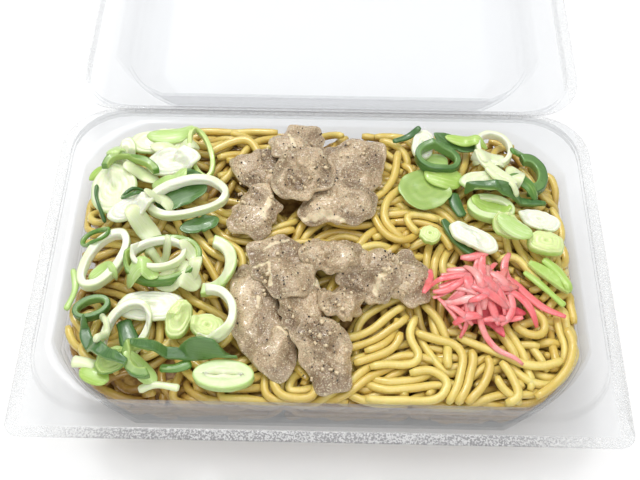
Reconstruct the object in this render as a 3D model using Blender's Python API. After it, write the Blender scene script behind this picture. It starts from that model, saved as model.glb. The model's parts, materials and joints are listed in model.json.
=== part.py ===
"""Yakisoba in a clear hinged-lid food pack, opened flat with the lid behind the tray.

Fried noodles fill the tray. On them lie two mounds of pork slices, two piles of cut scallion
and a heap of pickled ginger. All lengths are in millimetres and become metres when a mesh is
made. Two frames are used: the tray frame has its origin at the middle of the tray, at the
height of the flange's top face, and the hinge line lies along X at the tray's back edge.
"""
import math

import bmesh
import bpy
import numpy as np
from mathutils import Vector, noise

MM = 0.001

# Pack. Heights are measured up from the top face of the tray's flange.
PACK_WIDTH = 200.0
TRAY_LENGTH = 136.0
PACK_HEIGHT = 26.0
SHEET = 0.7
HINGE_GAP = 0.4
RIDGE_HEIGHT = 3.6
LID_CHANNEL = 4.2
LID_SHOULDER = 18.2
CORNER_STEPS = 7
SIDE_STEPS = 4
CUT_CORNER = 0.45

# Food. The grid holds the height of whatever lies highest at each place.
NEIGHBOUR_GAP = 0.35
WALL_GAP_SHARE = 1.6
EDGE_BELOW_RIM = 1.2
NOODLE_LEVEL = 2.6
MOUND_RISE = 2.0
REAR_RISE = 4.1
BACK_MIDDLE_RISE = 2.0
SIDE_FALL = 1.0
STRAND_RISE = 0.9
NOODLE_LOOPS = 8
CELL = 0.5
GRID_HALF_X = 92.0
GRID_HALF_Y = 62.0
SPREAD_CELLS = 2
STEEPEST = 0.25
BARE = -30.0

# How far each kind of piece may sag between the things that it lies on.
PORK_GIVE = 4.0
SLICE_GIVE = 2.5
RING_GIVE = 2.2
STRIP_GIVE = 9.0
GINGER_GIVE = 6.0

HALF_WIDTH = PACK_WIDTH / 2
HALF_LENGTH = TRAY_LENGTH / 2
TRAY_BACK = HALF_LENGTH - HINGE_GAP / 2

COLOURS = {
    "clear": (0.93, 0.94, 0.95, 0.08),
    "noodle": (0.83, 0.70, 0.33, 0.35),
    "pork": (0.52, 0.40, 0.33, 0.40),
    "ginger": (0.90, 0.32, 0.38, 0.35),
    "white": (0.88, 0.92, 0.84, 0.30),
    "pale": (0.78, 0.87, 0.62, 0.30),
    "lime": (0.66, 0.85, 0.34, 0.30),
    "green": (0.30, 0.55, 0.20, 0.35),
    "dark": (0.12, 0.33, 0.13, 0.35),
}

# Each loop of the pack: half width, front, back, front and back corner radius, corner fullness
# (1 is a full arc, 0 a straight cut) and height.
FLANGE = (HALF_WIDTH, -HALF_LENGTH, TRAY_BACK, 5.0, 19.0, 1.0)
TRAY_RIM = (88.3, -56.3, 57.7, 21.0, 21.0, CUT_CORNER)
TRAY_FLOOR = (82.5, -51.0, 52.4, 20.0, 20.0, CUT_CORNER)
TRAY_LOOPS = [
    (FLANGE, -SHEET),
    (FLANGE, 0.0),
    ((95.8, -60.2, 65.6, 22.0, 20.0, 1.0), 0.0),
    ((95.0, -58.9, 64.8, 21.0, 20.0, 1.0), RIDGE_HEIGHT),
    (TRAY_RIM, RIDGE_HEIGHT),
    (TRAY_FLOOR, SHEET - PACK_HEIGHT),
]
TRAY_UNDER_LOOPS = [
    ((83.3, -51.8, 53.2, 20.0, 20.0, CUT_CORNER), -PACK_HEIGHT),
    ((89.1, -57.1, 58.5, 21.0, 21.0, CUT_CORNER), RIDGE_HEIGHT - SHEET),
    ((94.2, -58.1, 64.0, 20.5, 19.5, 1.0), RIDGE_HEIGHT - SHEET),
    ((95.0, -59.4, 64.8, 21.2, 19.5, 1.0), -SHEET),
]
# The lid is described shut over the tray, its flange one gap above the tray's.
LID_LOOPS = [
    (FLANGE, HINGE_GAP),
    ((96.3, -60.8, 66.0, 22.0, 20.0, 1.0), HINGE_GAP),
    ((95.5, -59.5, 65.2, 21.4, 19.9, 1.0), LID_CHANNEL),
    ((86.5, -54.5, 56.0, 21.0, 21.0, CUT_CORNER), LID_CHANNEL),
    ((80.5, -49.0, 50.5, 19.0, 19.0, CUT_CORNER), LID_SHOULDER),
    ((70.6, -40.1, 41.6, 16.0, 16.0, CUT_CORNER), PACK_HEIGHT + HINGE_GAP - SHEET),
]
LID_OUTER_LOOPS = [
    ((71.0, -40.5, 42.0, 16.0, 16.0, CUT_CORNER), PACK_HEIGHT + HINGE_GAP),
    ((81.3, -49.8, 51.3, 19.0, 19.0, CUT_CORNER), LID_SHOULDER + SHEET / 2),
    ((87.3, -55.3, 56.8, 21.0, 21.0, CUT_CORNER), LID_CHANNEL + SHEET),
    ((96.3, -60.3, 66.0, 21.8, 20.2, 1.0), LID_CHANNEL + SHEET),
    ((97.1, -61.6, 66.8, 22.5, 20.5, 1.0), HINGE_GAP + SHEET),
    (FLANGE, HINGE_GAP + SHEET),
]

# Pork slices in the order they were laid: middle, length and width, turn in degrees, thickness.
PORK = [
    ("pork_left_back", (-21, 33), (26, 17), 10, 2.8),
    ("pork_left_front", (-24, 13), (22, 16), 70, 2.8),
    ("pork_peak", (-9, 42.5), (20, 20), 80, 2.8),
    ("pork_right_back", (11, 34), (27, 21), 70, 2.8),
    ("pork_fat_edge", (5, 17), (29, 16), 10, 2.8),
    ("pork_upper_curl", (-8, 27), (22, 20), 30, 3.0),
    ("pork_long_tongue", (-20, -28), (46, 18), -70, 3.2),
    ("pork_middle", (-6, -25), (31, 15), -75, 2.8),
    ("pork_front_tongue", (2, -40), (26, 17), -75, 3.2),
    ("pork_left_fold", (-13, -9), (27, 20), -60, 2.8),
    ("pork_right_end", (28, -11), (20, 17), -30, 2.8),
    ("pork_right_fold", (16, -11), (23, 18), -20, 2.8),
    ("pork_bridge", (3, -5), (21, 14), 0, 3.0),
    ("pork_lower_curl", (6, -23), (16, 13), 0, 4.0),
]

# Scallion rings and part rings: middle, length and width, turn, wall, height, the stretch of the
# ring that is there in degrees, and colour.
WHOLE = (0, 360)
RINGS = [
    ("scallion_ring_01", (-45, 38), (22, 9), 105, 1.2, 2.5, WHOLE, "lime"),
    ("scallion_arc_01", (-69, 27), (20, 16), 0, 2.0, 2.5, (15, 175), "green"),
    ("scallion_ring_02", (-48, 17), (30, 15), 12, 2.0, 3.0, WHOLE, "white"),
    ("scallion_ring_03", (-75, -6), (25, 14), 60, 2.2, 3.5, WHOLE, "white"),
    ("scallion_arc_02", (-39, -8), (20, 22), 0, 3.4, 2.5, (-100, 80), "pale"),
    ("scallion_ring_04", (-54, -8), (27, 17), 12, 1.2, 4.0, WHOLE, "green"),
    ("scallion_ring_05", (-55, -8), (19, 11), 12, 1.0, 3.0, WHOLE, "white"),
    ("scallion_arc_03", (-37, -29), (19, 21), 0, 2.0, 3.0, (-110, 100), "white"),
    ("scallion_ring_06", (-77, -24), (13, 8), 20, 1.2, 3.0, WHOLE, "dark"),
    ("scallion_ring_07", (-64, -33), (22, 15), 60, 1.6, 3.5, WHOLE, "white"),
    ("scallion_arc_04", (-57, -45), (12, 13), 0, 2.4, 2.5, (60, 300), "green"),
    ("scallion_ring_08", (-31, -48), (20, 10), 0, 3.6, 3.0, WHOLE, "pale"),
    ("scallion_ring_09", (62, 44), (17, 14), 90, 1.1, 3.0, WHOLE, "white"),
    ("scallion_ring_10", (41, 37), (17, 12), 0, 1.5, 3.5, WHOLE, "dark"),
    ("scallion_arc_05", (74, 33), (14, 18), 0, 3.2, 3.0, (-100, 110), "dark"),
    ("scallion_ring_11", (59, 17), (17, 11), -10, 2.0, 3.0, WHOLE, "pale"),
]

# Scallion slices and flat leaf pieces: middle, length and width, turn, thickness, squareness
# (2 is an oval, more is squarer) and colour.
SLICES = [
    ("scallion_slice_01", (-73, 36), (18, 8), 80, 2.5, 2.0, "pale"),
    ("scallion_slice_02", (-61, 45), (25, 11), 5, 2.5, 2.6, "pale"),
    ("scallion_slice_03", (-55, 34), (22, 11), 0, 2.5, 2.0, "white"),
    ("scallion_slice_04", (-75, 22), (20, 17), 100, 3.0, 2.2, "pale"),
    ("scallion_leaf_01", (-51, 21), (20, 12), 25, 1.2, 5.0, "dark"),
    ("scallion_leaf_02", (-43, 8), (15, 6), 15, 1.2, 3.0, "dark"),
    ("scallion_slice_05", (-67, 11), (18, 8), 20, 3.0, 2.2, "white"),
    ("scallion_slice_06", (-57, -23), (25, 11), 0, 2.0, 2.6, "white"),
    ("scallion_slice_07", (-47, -29), (14, 8), 70, 4.0, 2.4, "lime"),
    ("scallion_slice_08", (-37, -32), (12, 9), 0, 4.0, 2.4, "lime"),
    ("scallion_slice_09", (-67, -44.5), (12, 8), 30, 2.0, 2.2, "green"),
    ("scallion_slice_10", (36, 44.5), (14, 8), 80, 2.5, 2.8, "white"),
    ("scallion_leaf_03", (48, 46), (19, 6), -12, 1.2, 2.6, "dark"),
    ("scallion_leaf_04", (36, 25), (18, 17), 30, 1.2, 3.4, "green"),
    ("scallion_slice_11", (59, 28), (23, 11), 0, 3.0, 2.0, "pale"),
    ("scallion_slice_12", (76, 13), (17, 8), -8, 2.0, 2.0, "white"),
    ("scallion_slice_13", (64, 8), (12, 8), -20, 3.0, 2.4, "lime"),
    ("scallion_slice_14", (77, 3), (14, 9), -5, 4.5, 2.4, "lime"),
    ("scallion_slice_15", (52, 4), (20, 9), -25, 3.0, 2.2, "white"),
    ("scallion_slice_16", (37, 5), (8, 7), 0, 3.0, 2.0, "lime"),
]

# Narrow strips of leaf: points they pass, width, thickness and colour.
STRIPS = [
    ("scallion_strip_01", [(-79, -29), (-77, -36), (-70, -43), (-61, -48)], 3.6, 1.2, "dark"),
    ("scallion_strip_02", [(-60, -42), (-50, -41), (-38, -41), (-27, -42)], 3.4, 1.2, "dark"),
    ("scallion_strip_03", [(54, 40), (60, 33), (68, 25)], 3.0, 1.2, "white"),
    ("scallion_strip_04", [(50, 23), (60, 22), (70, 21), (79, 21)], 2.6, 1.2, "dark"),
    ("scallion_strip_05", [(42, 12), (46, 5), (52, -2)], 3.4, 1.2, "dark"),
    ("scallion_strip_06", [(71, -4), (77, -8), (84, -14)], 3.4, 1.5, "lime"),
]
PILE_ORDER = [
    "scallion_slice_02", "scallion_slice_01", "scallion_ring_01", "scallion_slice_03",
    "scallion_slice_04", "scallion_arc_01", "scallion_leaf_02", "scallion_leaf_01",
    "scallion_ring_02", "scallion_slice_05", "scallion_ring_03", "scallion_arc_02",
    "scallion_slice_06", "scallion_ring_04", "scallion_ring_05", "scallion_slice_07",
    "scallion_slice_08", "scallion_arc_03", "scallion_ring_06", "scallion_ring_07",
    "scallion_slice_09", "scallion_arc_04", "scallion_ring_08", "scallion_strip_01",
    "scallion_strip_02", "scallion_slice_10", "scallion_leaf_03", "scallion_leaf_04",
    "scallion_ring_10", "scallion_ring_09", "scallion_arc_05", "scallion_ring_11",
    "scallion_slice_11", "scallion_strip_03", "scallion_strip_04", "scallion_slice_13",
    "scallion_slice_12", "scallion_slice_14", "scallion_strip_05", "scallion_slice_15",
    "scallion_strip_06", "scallion_slice_16",
]

# Ginger heap: middle, length and width, height, and the strips that reach out of it as
# (direction in degrees, extra length, half angle of the strip).
GINGER_AT = (51, -18)
GINGER_SIZE = (30, 26)
GINGER_HEIGHT = 6.0
GINGER_ARMS = [(-13, 17, 8), (-58, 15, 8), (68, 5, 14), (190, 3, 16)]


def remove_startup_objects():
    """Empty the file before anything is modelled."""
    for item in list(bpy.data.objects):
        bpy.data.objects.remove(item, do_unlink=True)


def make_material(name, colour):
    """Return a Principled material of one colour and roughness."""
    material = bpy.data.materials.new(name)
    material.use_nodes = True
    shader = material.node_tree.nodes["Principled BSDF"]
    shader.inputs["Base Color"].default_value = (*colour[:3], 1.0)
    shader.inputs["Roughness"].default_value = colour[3]
    shader.inputs["Metallic"].default_value = 0.0
    return material


def make_empty(name, location):
    """Return an empty that others are parented to, at a place given in millimetres."""
    empty = bpy.data.objects.new(name, None)
    empty.location = Vector(location) * MM
    bpy.context.collection.objects.link(empty)
    return empty


def make_solid(name, points, faces, colour, parent):
    """Make one named closed solid from points in millimetres and the faces between them."""
    mesh = bpy.data.meshes.new(name)
    form = bmesh.new()
    corners = [form.verts.new([value * MM for value in point]) for point in points]
    for face in faces:
        form.faces.new([corners[index] for index in face])
    bmesh.ops.recalc_face_normals(form, faces=form.faces)
    form.to_mesh(mesh)
    form.free()
    mesh.shade_smooth()
    mesh.set_sharp_from_angle(angle=math.radians(40))
    mesh.materials.append(make_material(name, COLOURS[colour]))
    solid = bpy.data.objects.new(name, mesh)
    solid.parent = parent
    bpy.context.collection.objects.link(solid)
    return solid


def outline(half_x, front, back, front_radius, back_radius, fullness):
    """Return the points of a rectangle with rounded or cut corners, anticlockwise."""
    corners = [
        (half_x - front_radius, front + front_radius, front_radius, -90),
        (half_x - back_radius, back - back_radius, back_radius, 0),
        (back_radius - half_x, back - back_radius, back_radius, 90),
        (front_radius - half_x, front + front_radius, front_radius, 180),
    ]
    turns = np.radians(np.linspace(0, 90, CORNER_STEPS + 1))
    bends = []
    for middle_x, middle_y, radius, start in corners:
        angles = turns + math.radians(start)
        arc = np.stack([middle_x + radius * np.cos(angles), middle_y + radius * np.sin(angles)], 1)
        share = np.linspace(0, 1, CORNER_STEPS + 1)[:, None]
        chord = arc[0] * (1 - share) + arc[-1] * share
        bends.append(arc * fullness + chord * (1 - fullness))
    points = []
    for bend, following in zip(bends, bends[1:] + bends[:1]):
        points.extend(bend)
        for step in range(1, SIDE_STEPS):
            share = step / SIDE_STEPS
            points.append(bend[-1] * (1 - share) + following[0] * share)
    return np.array(points)


def loop_faces(count, loops):
    """Return the triangles between neighbouring loops of the same number of points."""
    faces = []
    for loop in range(loops - 1):
        for step in range(count):
            after = (step + 1) % count
            low, high = loop * count, (loop + 1) * count
            faces.append((low + step, low + after, high + after))
            faces.append((low + step, high + after, high + step))
    return faces


def pack_shell(top_loops, under_loops, shift):
    """Return points and faces of a formed sheet whose loops run from the flange to the floor."""
    rings = []
    for shape, height in top_loops + under_loops:
        ring = outline(*shape)
        rings.append(np.column_stack([ring, np.full(len(ring), height)]) + shift)
    count = len(rings[0])
    first_under = len(top_loops)
    tops = loop_faces(count, first_under)
    unders = [tuple(i + first_under * count for i in face)
              for face in loop_faces(count, len(under_loops))]
    floor = (first_under - 1) * count
    faces = tops + unders
    faces.append(tuple(floor + step for step in range(count)))
    faces.append(tuple(first_under * count + step for step in reversed(range(count))))
    last = (len(rings) - 1) * count
    for step in range(count):
        after = (step + 1) % count
        faces.append((last + step, last + after, after))
        faces.append((last + step, after, step))
    return np.concatenate(rings), faces


def smooth_step(value, low, high):
    """Return 0 below low, 1 above high and a smooth rise between them."""
    share = np.clip((value - low) / (high - low), 0.0, 1.0)
    return share * share * (3 - 2 * share)


def noodle_top(x, y):
    """Return the height of the noodles at a place in the tray: higher at the back and middle."""
    mound = MOUND_RISE * math.exp(-(x / 45) ** 2 - ((y - 5) / 38) ** 2)
    rear = REAR_RISE * smooth_step(y, -35, 15)
    back_middle = BACK_MIDDLE_RISE * smooth_step(y, 25, 50) * smooth_step(-abs(x), -45, -25)
    sides = -SIDE_FALL * smooth_step(abs(x), 60, 85)
    strands = STRAND_RISE * noise.noise(Vector((x * 0.09, y * 0.09, 3.0)))
    return NOODLE_LEVEL + mound + rear + back_middle + sides + strands


def wall_point(rim_point, floor_point, height):
    """Return the place on the tray's sloping inner wall at a height, one gap inside it."""
    share = (RIDGE_HEIGHT - height) / (RIDGE_HEIGHT + PACK_HEIGHT - SHEET)
    point = rim_point * (1 - share) + floor_point * share
    return point * (1 - WALL_GAP_SHARE * NEIGHBOUR_GAP / np.linalg.norm(point))


def noodle_heap():
    """Return points, faces and top faces of the noodles, out to the tray's walls."""
    rim = outline(*TRAY_RIM)
    floor = outline(*TRAY_FLOOR)
    edge_limit = RIDGE_HEIGHT - EDGE_BELOW_RIM
    edge = []
    for rim_point, floor_point in zip(rim, floor):
        height = min(noodle_top(*rim_point), edge_limit)
        place = wall_point(rim_point, floor_point, height)
        edge.append((*place, height))
    foot_height = SHEET - PACK_HEIGHT + NEIGHBOUR_GAP
    foot = [(*wall_point(r, f, foot_height), foot_height) for r, f in zip(rim, floor)]
    rings = [np.array(foot), np.array(edge)]
    for loop in range(1, NOODLE_LOOPS):
        scale = 1 - loop / NOODLE_LOOPS
        ring = [(p[0] * scale, p[1] * scale, noodle_top(p[0] * scale, p[1] * scale)) for p in edge]
        rings.append(np.array(ring))
    count = len(rim)
    middle = len(rings) * count
    points = np.concatenate(rings + [np.array([(0.0, 0.0, noodle_top(0, 0))])])
    faces = loop_faces(count, len(rings))
    top_faces = faces[2 * count:]
    last = middle - count
    top_faces += [(last + step, last + (step + 1) % count, middle) for step in range(count)]
    faces = faces[:2 * count] + top_faces
    faces.append(tuple(reversed(range(count))))
    return points, faces, top_faces


class HeightGrid:
    """The height of the highest thing at each place over the tray."""

    def __init__(self):
        """Make an empty grid over the tray's opening."""
        columns = int(2 * GRID_HALF_X / CELL) + 1
        rows = int(2 * GRID_HALF_Y / CELL) + 1
        self.height = np.full((columns, rows), BARE)

    def cover(self, points, triangles):
        """Return cell numbers, triangle corners and corner weights of all covered cells."""
        found = []
        for triangle in triangles:
            corners = points[list(triangle), :2]
            found.append(self.cover_one(corners, triangle))
        columns = np.concatenate([item[0] for item in found])
        rows = np.concatenate([item[1] for item in found])
        owners = np.concatenate([item[2] for item in found])
        weights = np.concatenate([item[3] for item in found])
        return columns, rows, owners, weights

    def cover_one(self, corners, triangle):
        """Return the cells inside one triangle with their corner weights."""
        low = np.floor((corners.min(0) + (GRID_HALF_X, GRID_HALF_Y)) / CELL).astype(int)
        high = np.ceil((corners.max(0) + (GRID_HALF_X, GRID_HALF_Y)) / CELL).astype(int)
        low = np.maximum(low, 0)
        high = np.minimum(high, np.array(self.height.shape) - 1)
        columns, rows = np.meshgrid(
            np.arange(low[0], high[0] + 1), np.arange(low[1], high[1] + 1), indexing="ij")
        x = columns.ravel() * CELL - GRID_HALF_X
        y = rows.ravel() * CELL - GRID_HALF_Y
        (ax, ay), (bx, by), (cx, cy) = corners
        area = (bx - ax) * (cy - ay) - (cx - ax) * (by - ay)
        if abs(area) < 1e-9:
            area = 1e-9
        second = ((x - ax) * (cy - ay) - (cx - ax) * (y - ay)) / area
        third = ((bx - ax) * (y - ay) - (x - ax) * (by - ay)) / area
        weights = np.stack([1 - second - third, second, third], 1)
        inside = (weights > -1e-6).all(1)
        owners = np.tile(np.array(triangle), (int(inside.sum()), 1))
        return columns.ravel()[inside], rows.ravel()[inside], owners, weights[inside]

    def add(self, points, triangles):
        """Raise the grid to the given top faces, spread sideways by a few cells."""
        columns, rows, owners, weights = self.cover(points, triangles)
        heights = (points[owners, 2] * weights).sum(1)
        fresh = np.full(self.height.shape, BARE)
        np.maximum.at(fresh, (columns, rows), heights)
        for _ in range(SPREAD_CELLS):
            for axis in (0, 1):
                before = np.roll(fresh, 1, axis)
                after = np.roll(fresh, -1, axis)
                fresh = np.maximum(fresh, np.maximum(before, after))
        self.height = np.maximum(self.height, fresh)

    def rest(self, points, triangles, give):
        """Return the height of each point of an underside that lies on what is there.

        A give of 0 keeps the underside flat; a larger one lets it sag that far.
        """
        columns, rows, owners, weights = self.cover(points, triangles)
        ground = self.height[columns, rows] + NEIGHBOUR_GAP
        resting = np.full(len(points), BARE)
        for corner in range(3):
            np.maximum.at(resting, owners[:, corner],
                          np.where(weights[:, corner] > 0.5, ground, BARE))
        resting[resting == BARE] = ground.min()
        for _ in range(200):
            short = ground - (resting[owners] * weights).sum(1)
            if short.max() < 1e-4:
                break
            lift = np.zeros(len(points))
            for corner in range(3):
                np.maximum.at(lift, owners[:, corner],
                              np.where(weights[:, corner] > 0.15, short, 0.0))
            resting += np.maximum(lift, 0.0) * 1.02
        terms = np.column_stack([points[:, :2], np.ones(len(points))])
        slope = np.linalg.lstsq(terms, resting, rcond=None)[0][:2]
        slope *= min(1.0, STEEPEST / max(np.linalg.norm(slope), STEEPEST / 10))
        plane = points[:, :2] @ slope
        plane += (resting - plane).max() - give
        return np.maximum(resting, plane)


def place_solid(grid, name, flat, top_faces, thickness, side_loops, colour, parent, give):
    """Lay a flat form on the heap, give it thickness and make it a solid.

    flat holds the plan points, top_faces the triangles between them, thickness one value for
    each point and side_loops the closed loops of point numbers round its borders.
    """
    under = np.column_stack([flat, np.zeros(len(flat))])
    under[:, 2] = grid.rest(under, top_faces, give)
    top = under.copy()
    top[:, 2] += thickness
    count = len(flat)
    faces = list(top_faces)
    faces += [tuple(count + index for index in reversed(face)) for face in top_faces]
    for loop in side_loops:
        for here, after in zip(loop, loop[1:] + loop[:1]):
            faces.append((here, count + here, count + after))
            faces.append((here, count + after, after))
    make_solid(name, np.concatenate([top, under]), faces, colour, parent)
    grid.add(top, top_faces)


def turned(points, degrees, middle):
    """Turn plan points about the origin and move them to their middle."""
    angle = math.radians(degrees)
    matrix = np.array([[math.cos(angle), -math.sin(angle)], [math.sin(angle), math.cos(angle)]])
    return points @ matrix.T + np.array(middle)


def radial_form(radii, rings):
    """Return plan points, faces and border of a form with a middle point and rings round it."""
    count = len(radii)
    angles = np.linspace(0, 2 * math.pi, count, endpoint=False)
    rim = np.column_stack([radii * np.cos(angles), radii * np.sin(angles)])
    points = np.concatenate([rim * (1 - ring / rings) for ring in range(rings)] + [np.zeros((1, 2))])
    faces = loop_faces(count, rings)
    last = (rings - 1) * count
    faces += [(last + step, last + (step + 1) % count, rings * count) for step in range(count)]
    return points, faces, list(range(count))


def oval_radii(size, steps, squareness):
    """Return the radius of a rounded oval at even angles."""
    angles = np.linspace(0, 2 * math.pi, steps, endpoint=False)
    across = np.abs(np.cos(angles) / (size[0] / 2)) ** squareness
    along = np.abs(np.sin(angles) / (size[1] / 2)) ** squareness
    return (across + along) ** (-1 / squareness)


def lay_pork(grid, parent):
    """Lay the pork slices, each with a ragged outline and a thick middle."""
    for number, (name, middle, size, turn, thick) in enumerate(PORK):
        steps, rings = 14, 3
        angles = np.linspace(0, 2 * math.pi, steps, endpoint=False)
        ragged = 1 + 0.07 * np.sin(3 * angles + number) + 0.05 * np.sin(5 * angles + 2.3 * number)
        flat, faces, border = radial_form(oval_radii(size, steps, 2.4) * ragged, rings)
        depth = np.full(len(flat), thick)
        depth[:steps] = thick * 0.55
        flat = turned(flat, turn, middle)
        place_solid(grid, name, flat, faces, depth, [border], "pork", parent, PORK_GIVE)


def lay_slice(grid, parent, name, middle, size, turn, thick, squareness, colour):
    """Lay one cut scallion slice or leaf piece."""
    steps, rings = 14, 2
    flat, faces, border = radial_form(oval_radii(size, steps, squareness), rings)
    flat = turned(flat, turn, middle)
    depth = np.full(len(flat), thick)
    place_solid(grid, name, flat, faces, depth, [border], colour, parent, SLICE_GIVE)


def band_form(inner, outer, closed):
    """Return points, faces and border loops of a band between two lines of points."""
    count = len(inner)
    points = np.concatenate([outer, inner])
    faces = []
    for step in range(count if closed else count - 1):
        after = (step + 1) % count
        faces.append((step, after, count + after))
        faces.append((step, count + after, count + step))
    if closed:
        return points, faces, [list(range(count)), [count + i for i in reversed(range(count))]]
    return points, faces, [list(range(count)) + [count + i for i in reversed(range(count))]]


def lay_ring(grid, parent, name, middle, size, turn, wall, height, stretch, colour):
    """Lay one scallion ring, or the stretch of it that is there."""
    closed = stretch == WHOLE
    steps = 14 if closed else 10
    angles = np.radians(np.linspace(*stretch, steps, endpoint=not closed))
    unit = np.column_stack([np.cos(angles), np.sin(angles)])
    outer = unit * (size[0] / 2, size[1] / 2)
    inner = unit * (size[0] / 2 - wall, size[1] / 2 - wall)
    flat, faces, borders = band_form(inner, outer, closed)
    flat = turned(flat, turn, middle)
    depth = np.full(len(flat), height)
    place_solid(grid, name, flat, faces, depth, borders, colour, parent, RING_GIVE)


def smooth_line(points, pieces):
    """Return a smooth line through the given points, each stretch cut into pieces."""
    ends = [2 * np.array(points[0]) - points[1]] + [np.array(p) for p in points]
    ends.append(2 * ends[-1] - ends[-2])
    line = []
    for before, start, stop, after in zip(ends, ends[1:], ends[2:], ends[3:]):
        for t in np.linspace(0, 1, pieces, endpoint=False):
            line.append(0.5 * (2 * start + (stop - before) * t
                               + (2 * before - 5 * start + 4 * stop - after) * t * t
                               + (3 * start - before - 3 * stop + after) * t ** 3))
    return np.array(line + [ends[-2]])


def lay_strip(grid, parent, name, points, width, thick, colour):
    """Lay one narrow strip of leaf along its line, tapered to its ends."""
    line = smooth_line(points, 3)
    along = np.gradient(line, axis=0)
    along /= np.linalg.norm(along, axis=1)[:, None]
    across = np.column_stack([-along[:, 1], along[:, 0]])
    share = np.linspace(-1, 1, len(line))
    half = (width / 2 * (1 - 0.6 * np.abs(share) ** 3))[:, None]
    flat, faces, borders = band_form(line - across * half, line + across * half, closed=False)
    depth = np.full(len(flat), thick)
    place_solid(grid, name, flat, faces, depth, borders, colour, parent, STRIP_GIVE)


def lay_scallions(grid, parent):
    """Lay every scallion piece, from the bottom of the piles to the top."""
    makers = {item[0]: (lay_ring, item) for item in RINGS}
    makers.update({item[0]: (lay_slice, item) for item in SLICES})
    makers.update({item[0]: (lay_strip, item) for item in STRIPS})
    for name in PILE_ORDER:
        lay, sizes = makers[name]
        lay(grid, parent, *sizes)


def lay_ginger(grid, parent):
    """Lay the heap of ginger strips as one form with the longest strips reaching out of it."""
    steps, rings = 36, 3
    angles = np.degrees(np.linspace(0, 2 * math.pi, steps, endpoint=False))
    radii = oval_radii(GINGER_SIZE, steps, 2.0)
    for direction, extra, half_angle in GINGER_ARMS:
        away = (angles - direction + 180) % 360 - 180
        radii = radii + extra * np.exp(-(away / half_angle) ** 2)
    flat, faces, border = radial_form(radii, rings)
    spread = np.hypot(flat[:, 0] / GINGER_SIZE[0], flat[:, 1] / GINGER_SIZE[1]) * 2
    depth = 1.6 + (GINGER_HEIGHT - 1.6) * (1 - smooth_step(spread, 0.1, 1.0))
    flat = flat + np.array(GINGER_AT)
    place_solid(grid, "pickled_ginger", flat, faces, depth, [border], "ginger", parent, GINGER_GIVE)


def make_pack(tray_frame, hinge):
    """Make the tray, and the lid shut over it and then turned back flat about the hinge."""
    points, faces = pack_shell(TRAY_LOOPS, TRAY_UNDER_LOOPS, shift=np.zeros(3))
    make_solid("tray", points, faces, "clear", tray_frame)
    to_hinge = np.array([0.0, -HALF_LENGTH, -HINGE_GAP / 2])
    points, faces = pack_shell(LID_LOOPS, LID_OUTER_LOOPS, shift=to_hinge)
    lid = make_solid("lid", points, faces, "clear", hinge)
    lid.rotation_euler.x = math.pi


def main():
    """Model the pack and lay the food in it."""
    remove_startup_objects()
    tray_frame = make_empty("tray_frame", (0.0, -HALF_LENGTH, PACK_HEIGHT))
    hinge = make_empty("hinge", (0.0, 0.0, PACK_HEIGHT + HINGE_GAP / 2))
    make_pack(tray_frame, hinge)
    grid = HeightGrid()
    points, faces, top_faces = noodle_heap()
    make_solid("noodles", points, faces, "noodle", tray_frame)
    grid.add(points, top_faces)
    lay_pork(grid, tray_frame)
    lay_scallions(grid, tray_frame)
    lay_ginger(grid, tray_frame)


main()
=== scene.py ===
"""Yakisoba in a clear hinged-lid food pack, opened flat with the lid behind the tray.

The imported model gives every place. Sizes inside this script are in millimetres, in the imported
model's own frame, and become metres when a mesh is made.
"""
import json
import logging
import math
from collections.abc import Callable, Iterable, Sequence
from contextlib import contextmanager
from dataclasses import dataclass, field
from enum import Enum
from functools import cached_property, partial

import bpy
import numpy as np
from mathutils import Euler, Matrix, Vector, noise
from mathutils.bvhtree import BVHTree
from mathutils.geometry import convex_hull_2d


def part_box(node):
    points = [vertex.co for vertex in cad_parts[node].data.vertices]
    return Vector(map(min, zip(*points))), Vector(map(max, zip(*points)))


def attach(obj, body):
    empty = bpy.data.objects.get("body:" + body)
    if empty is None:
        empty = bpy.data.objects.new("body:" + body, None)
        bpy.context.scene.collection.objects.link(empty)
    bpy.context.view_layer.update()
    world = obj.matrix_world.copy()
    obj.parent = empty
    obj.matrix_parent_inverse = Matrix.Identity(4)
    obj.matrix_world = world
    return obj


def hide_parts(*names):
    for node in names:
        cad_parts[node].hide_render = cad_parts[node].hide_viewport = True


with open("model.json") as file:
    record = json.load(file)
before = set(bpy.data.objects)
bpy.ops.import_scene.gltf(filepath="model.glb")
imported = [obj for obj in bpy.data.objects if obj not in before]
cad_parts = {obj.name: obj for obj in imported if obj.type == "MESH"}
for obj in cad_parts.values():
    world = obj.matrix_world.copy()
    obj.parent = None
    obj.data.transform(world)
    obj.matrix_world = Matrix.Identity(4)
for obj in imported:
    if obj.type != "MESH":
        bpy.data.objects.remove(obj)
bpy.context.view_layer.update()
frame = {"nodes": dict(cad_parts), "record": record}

logging.basicConfig(level=logging.INFO, format="%(levelname)s %(message)s")
LOG = logging.getLogger("yakisoba")

MM = 0.001
TRAY_BODY = "tray_body"
LID_BODY = "lid_body"
SEED = 20
Array = np.ndarray
Colour = tuple[float, float, float]


# ---------------------------------------------------------------- shader maths


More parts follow.
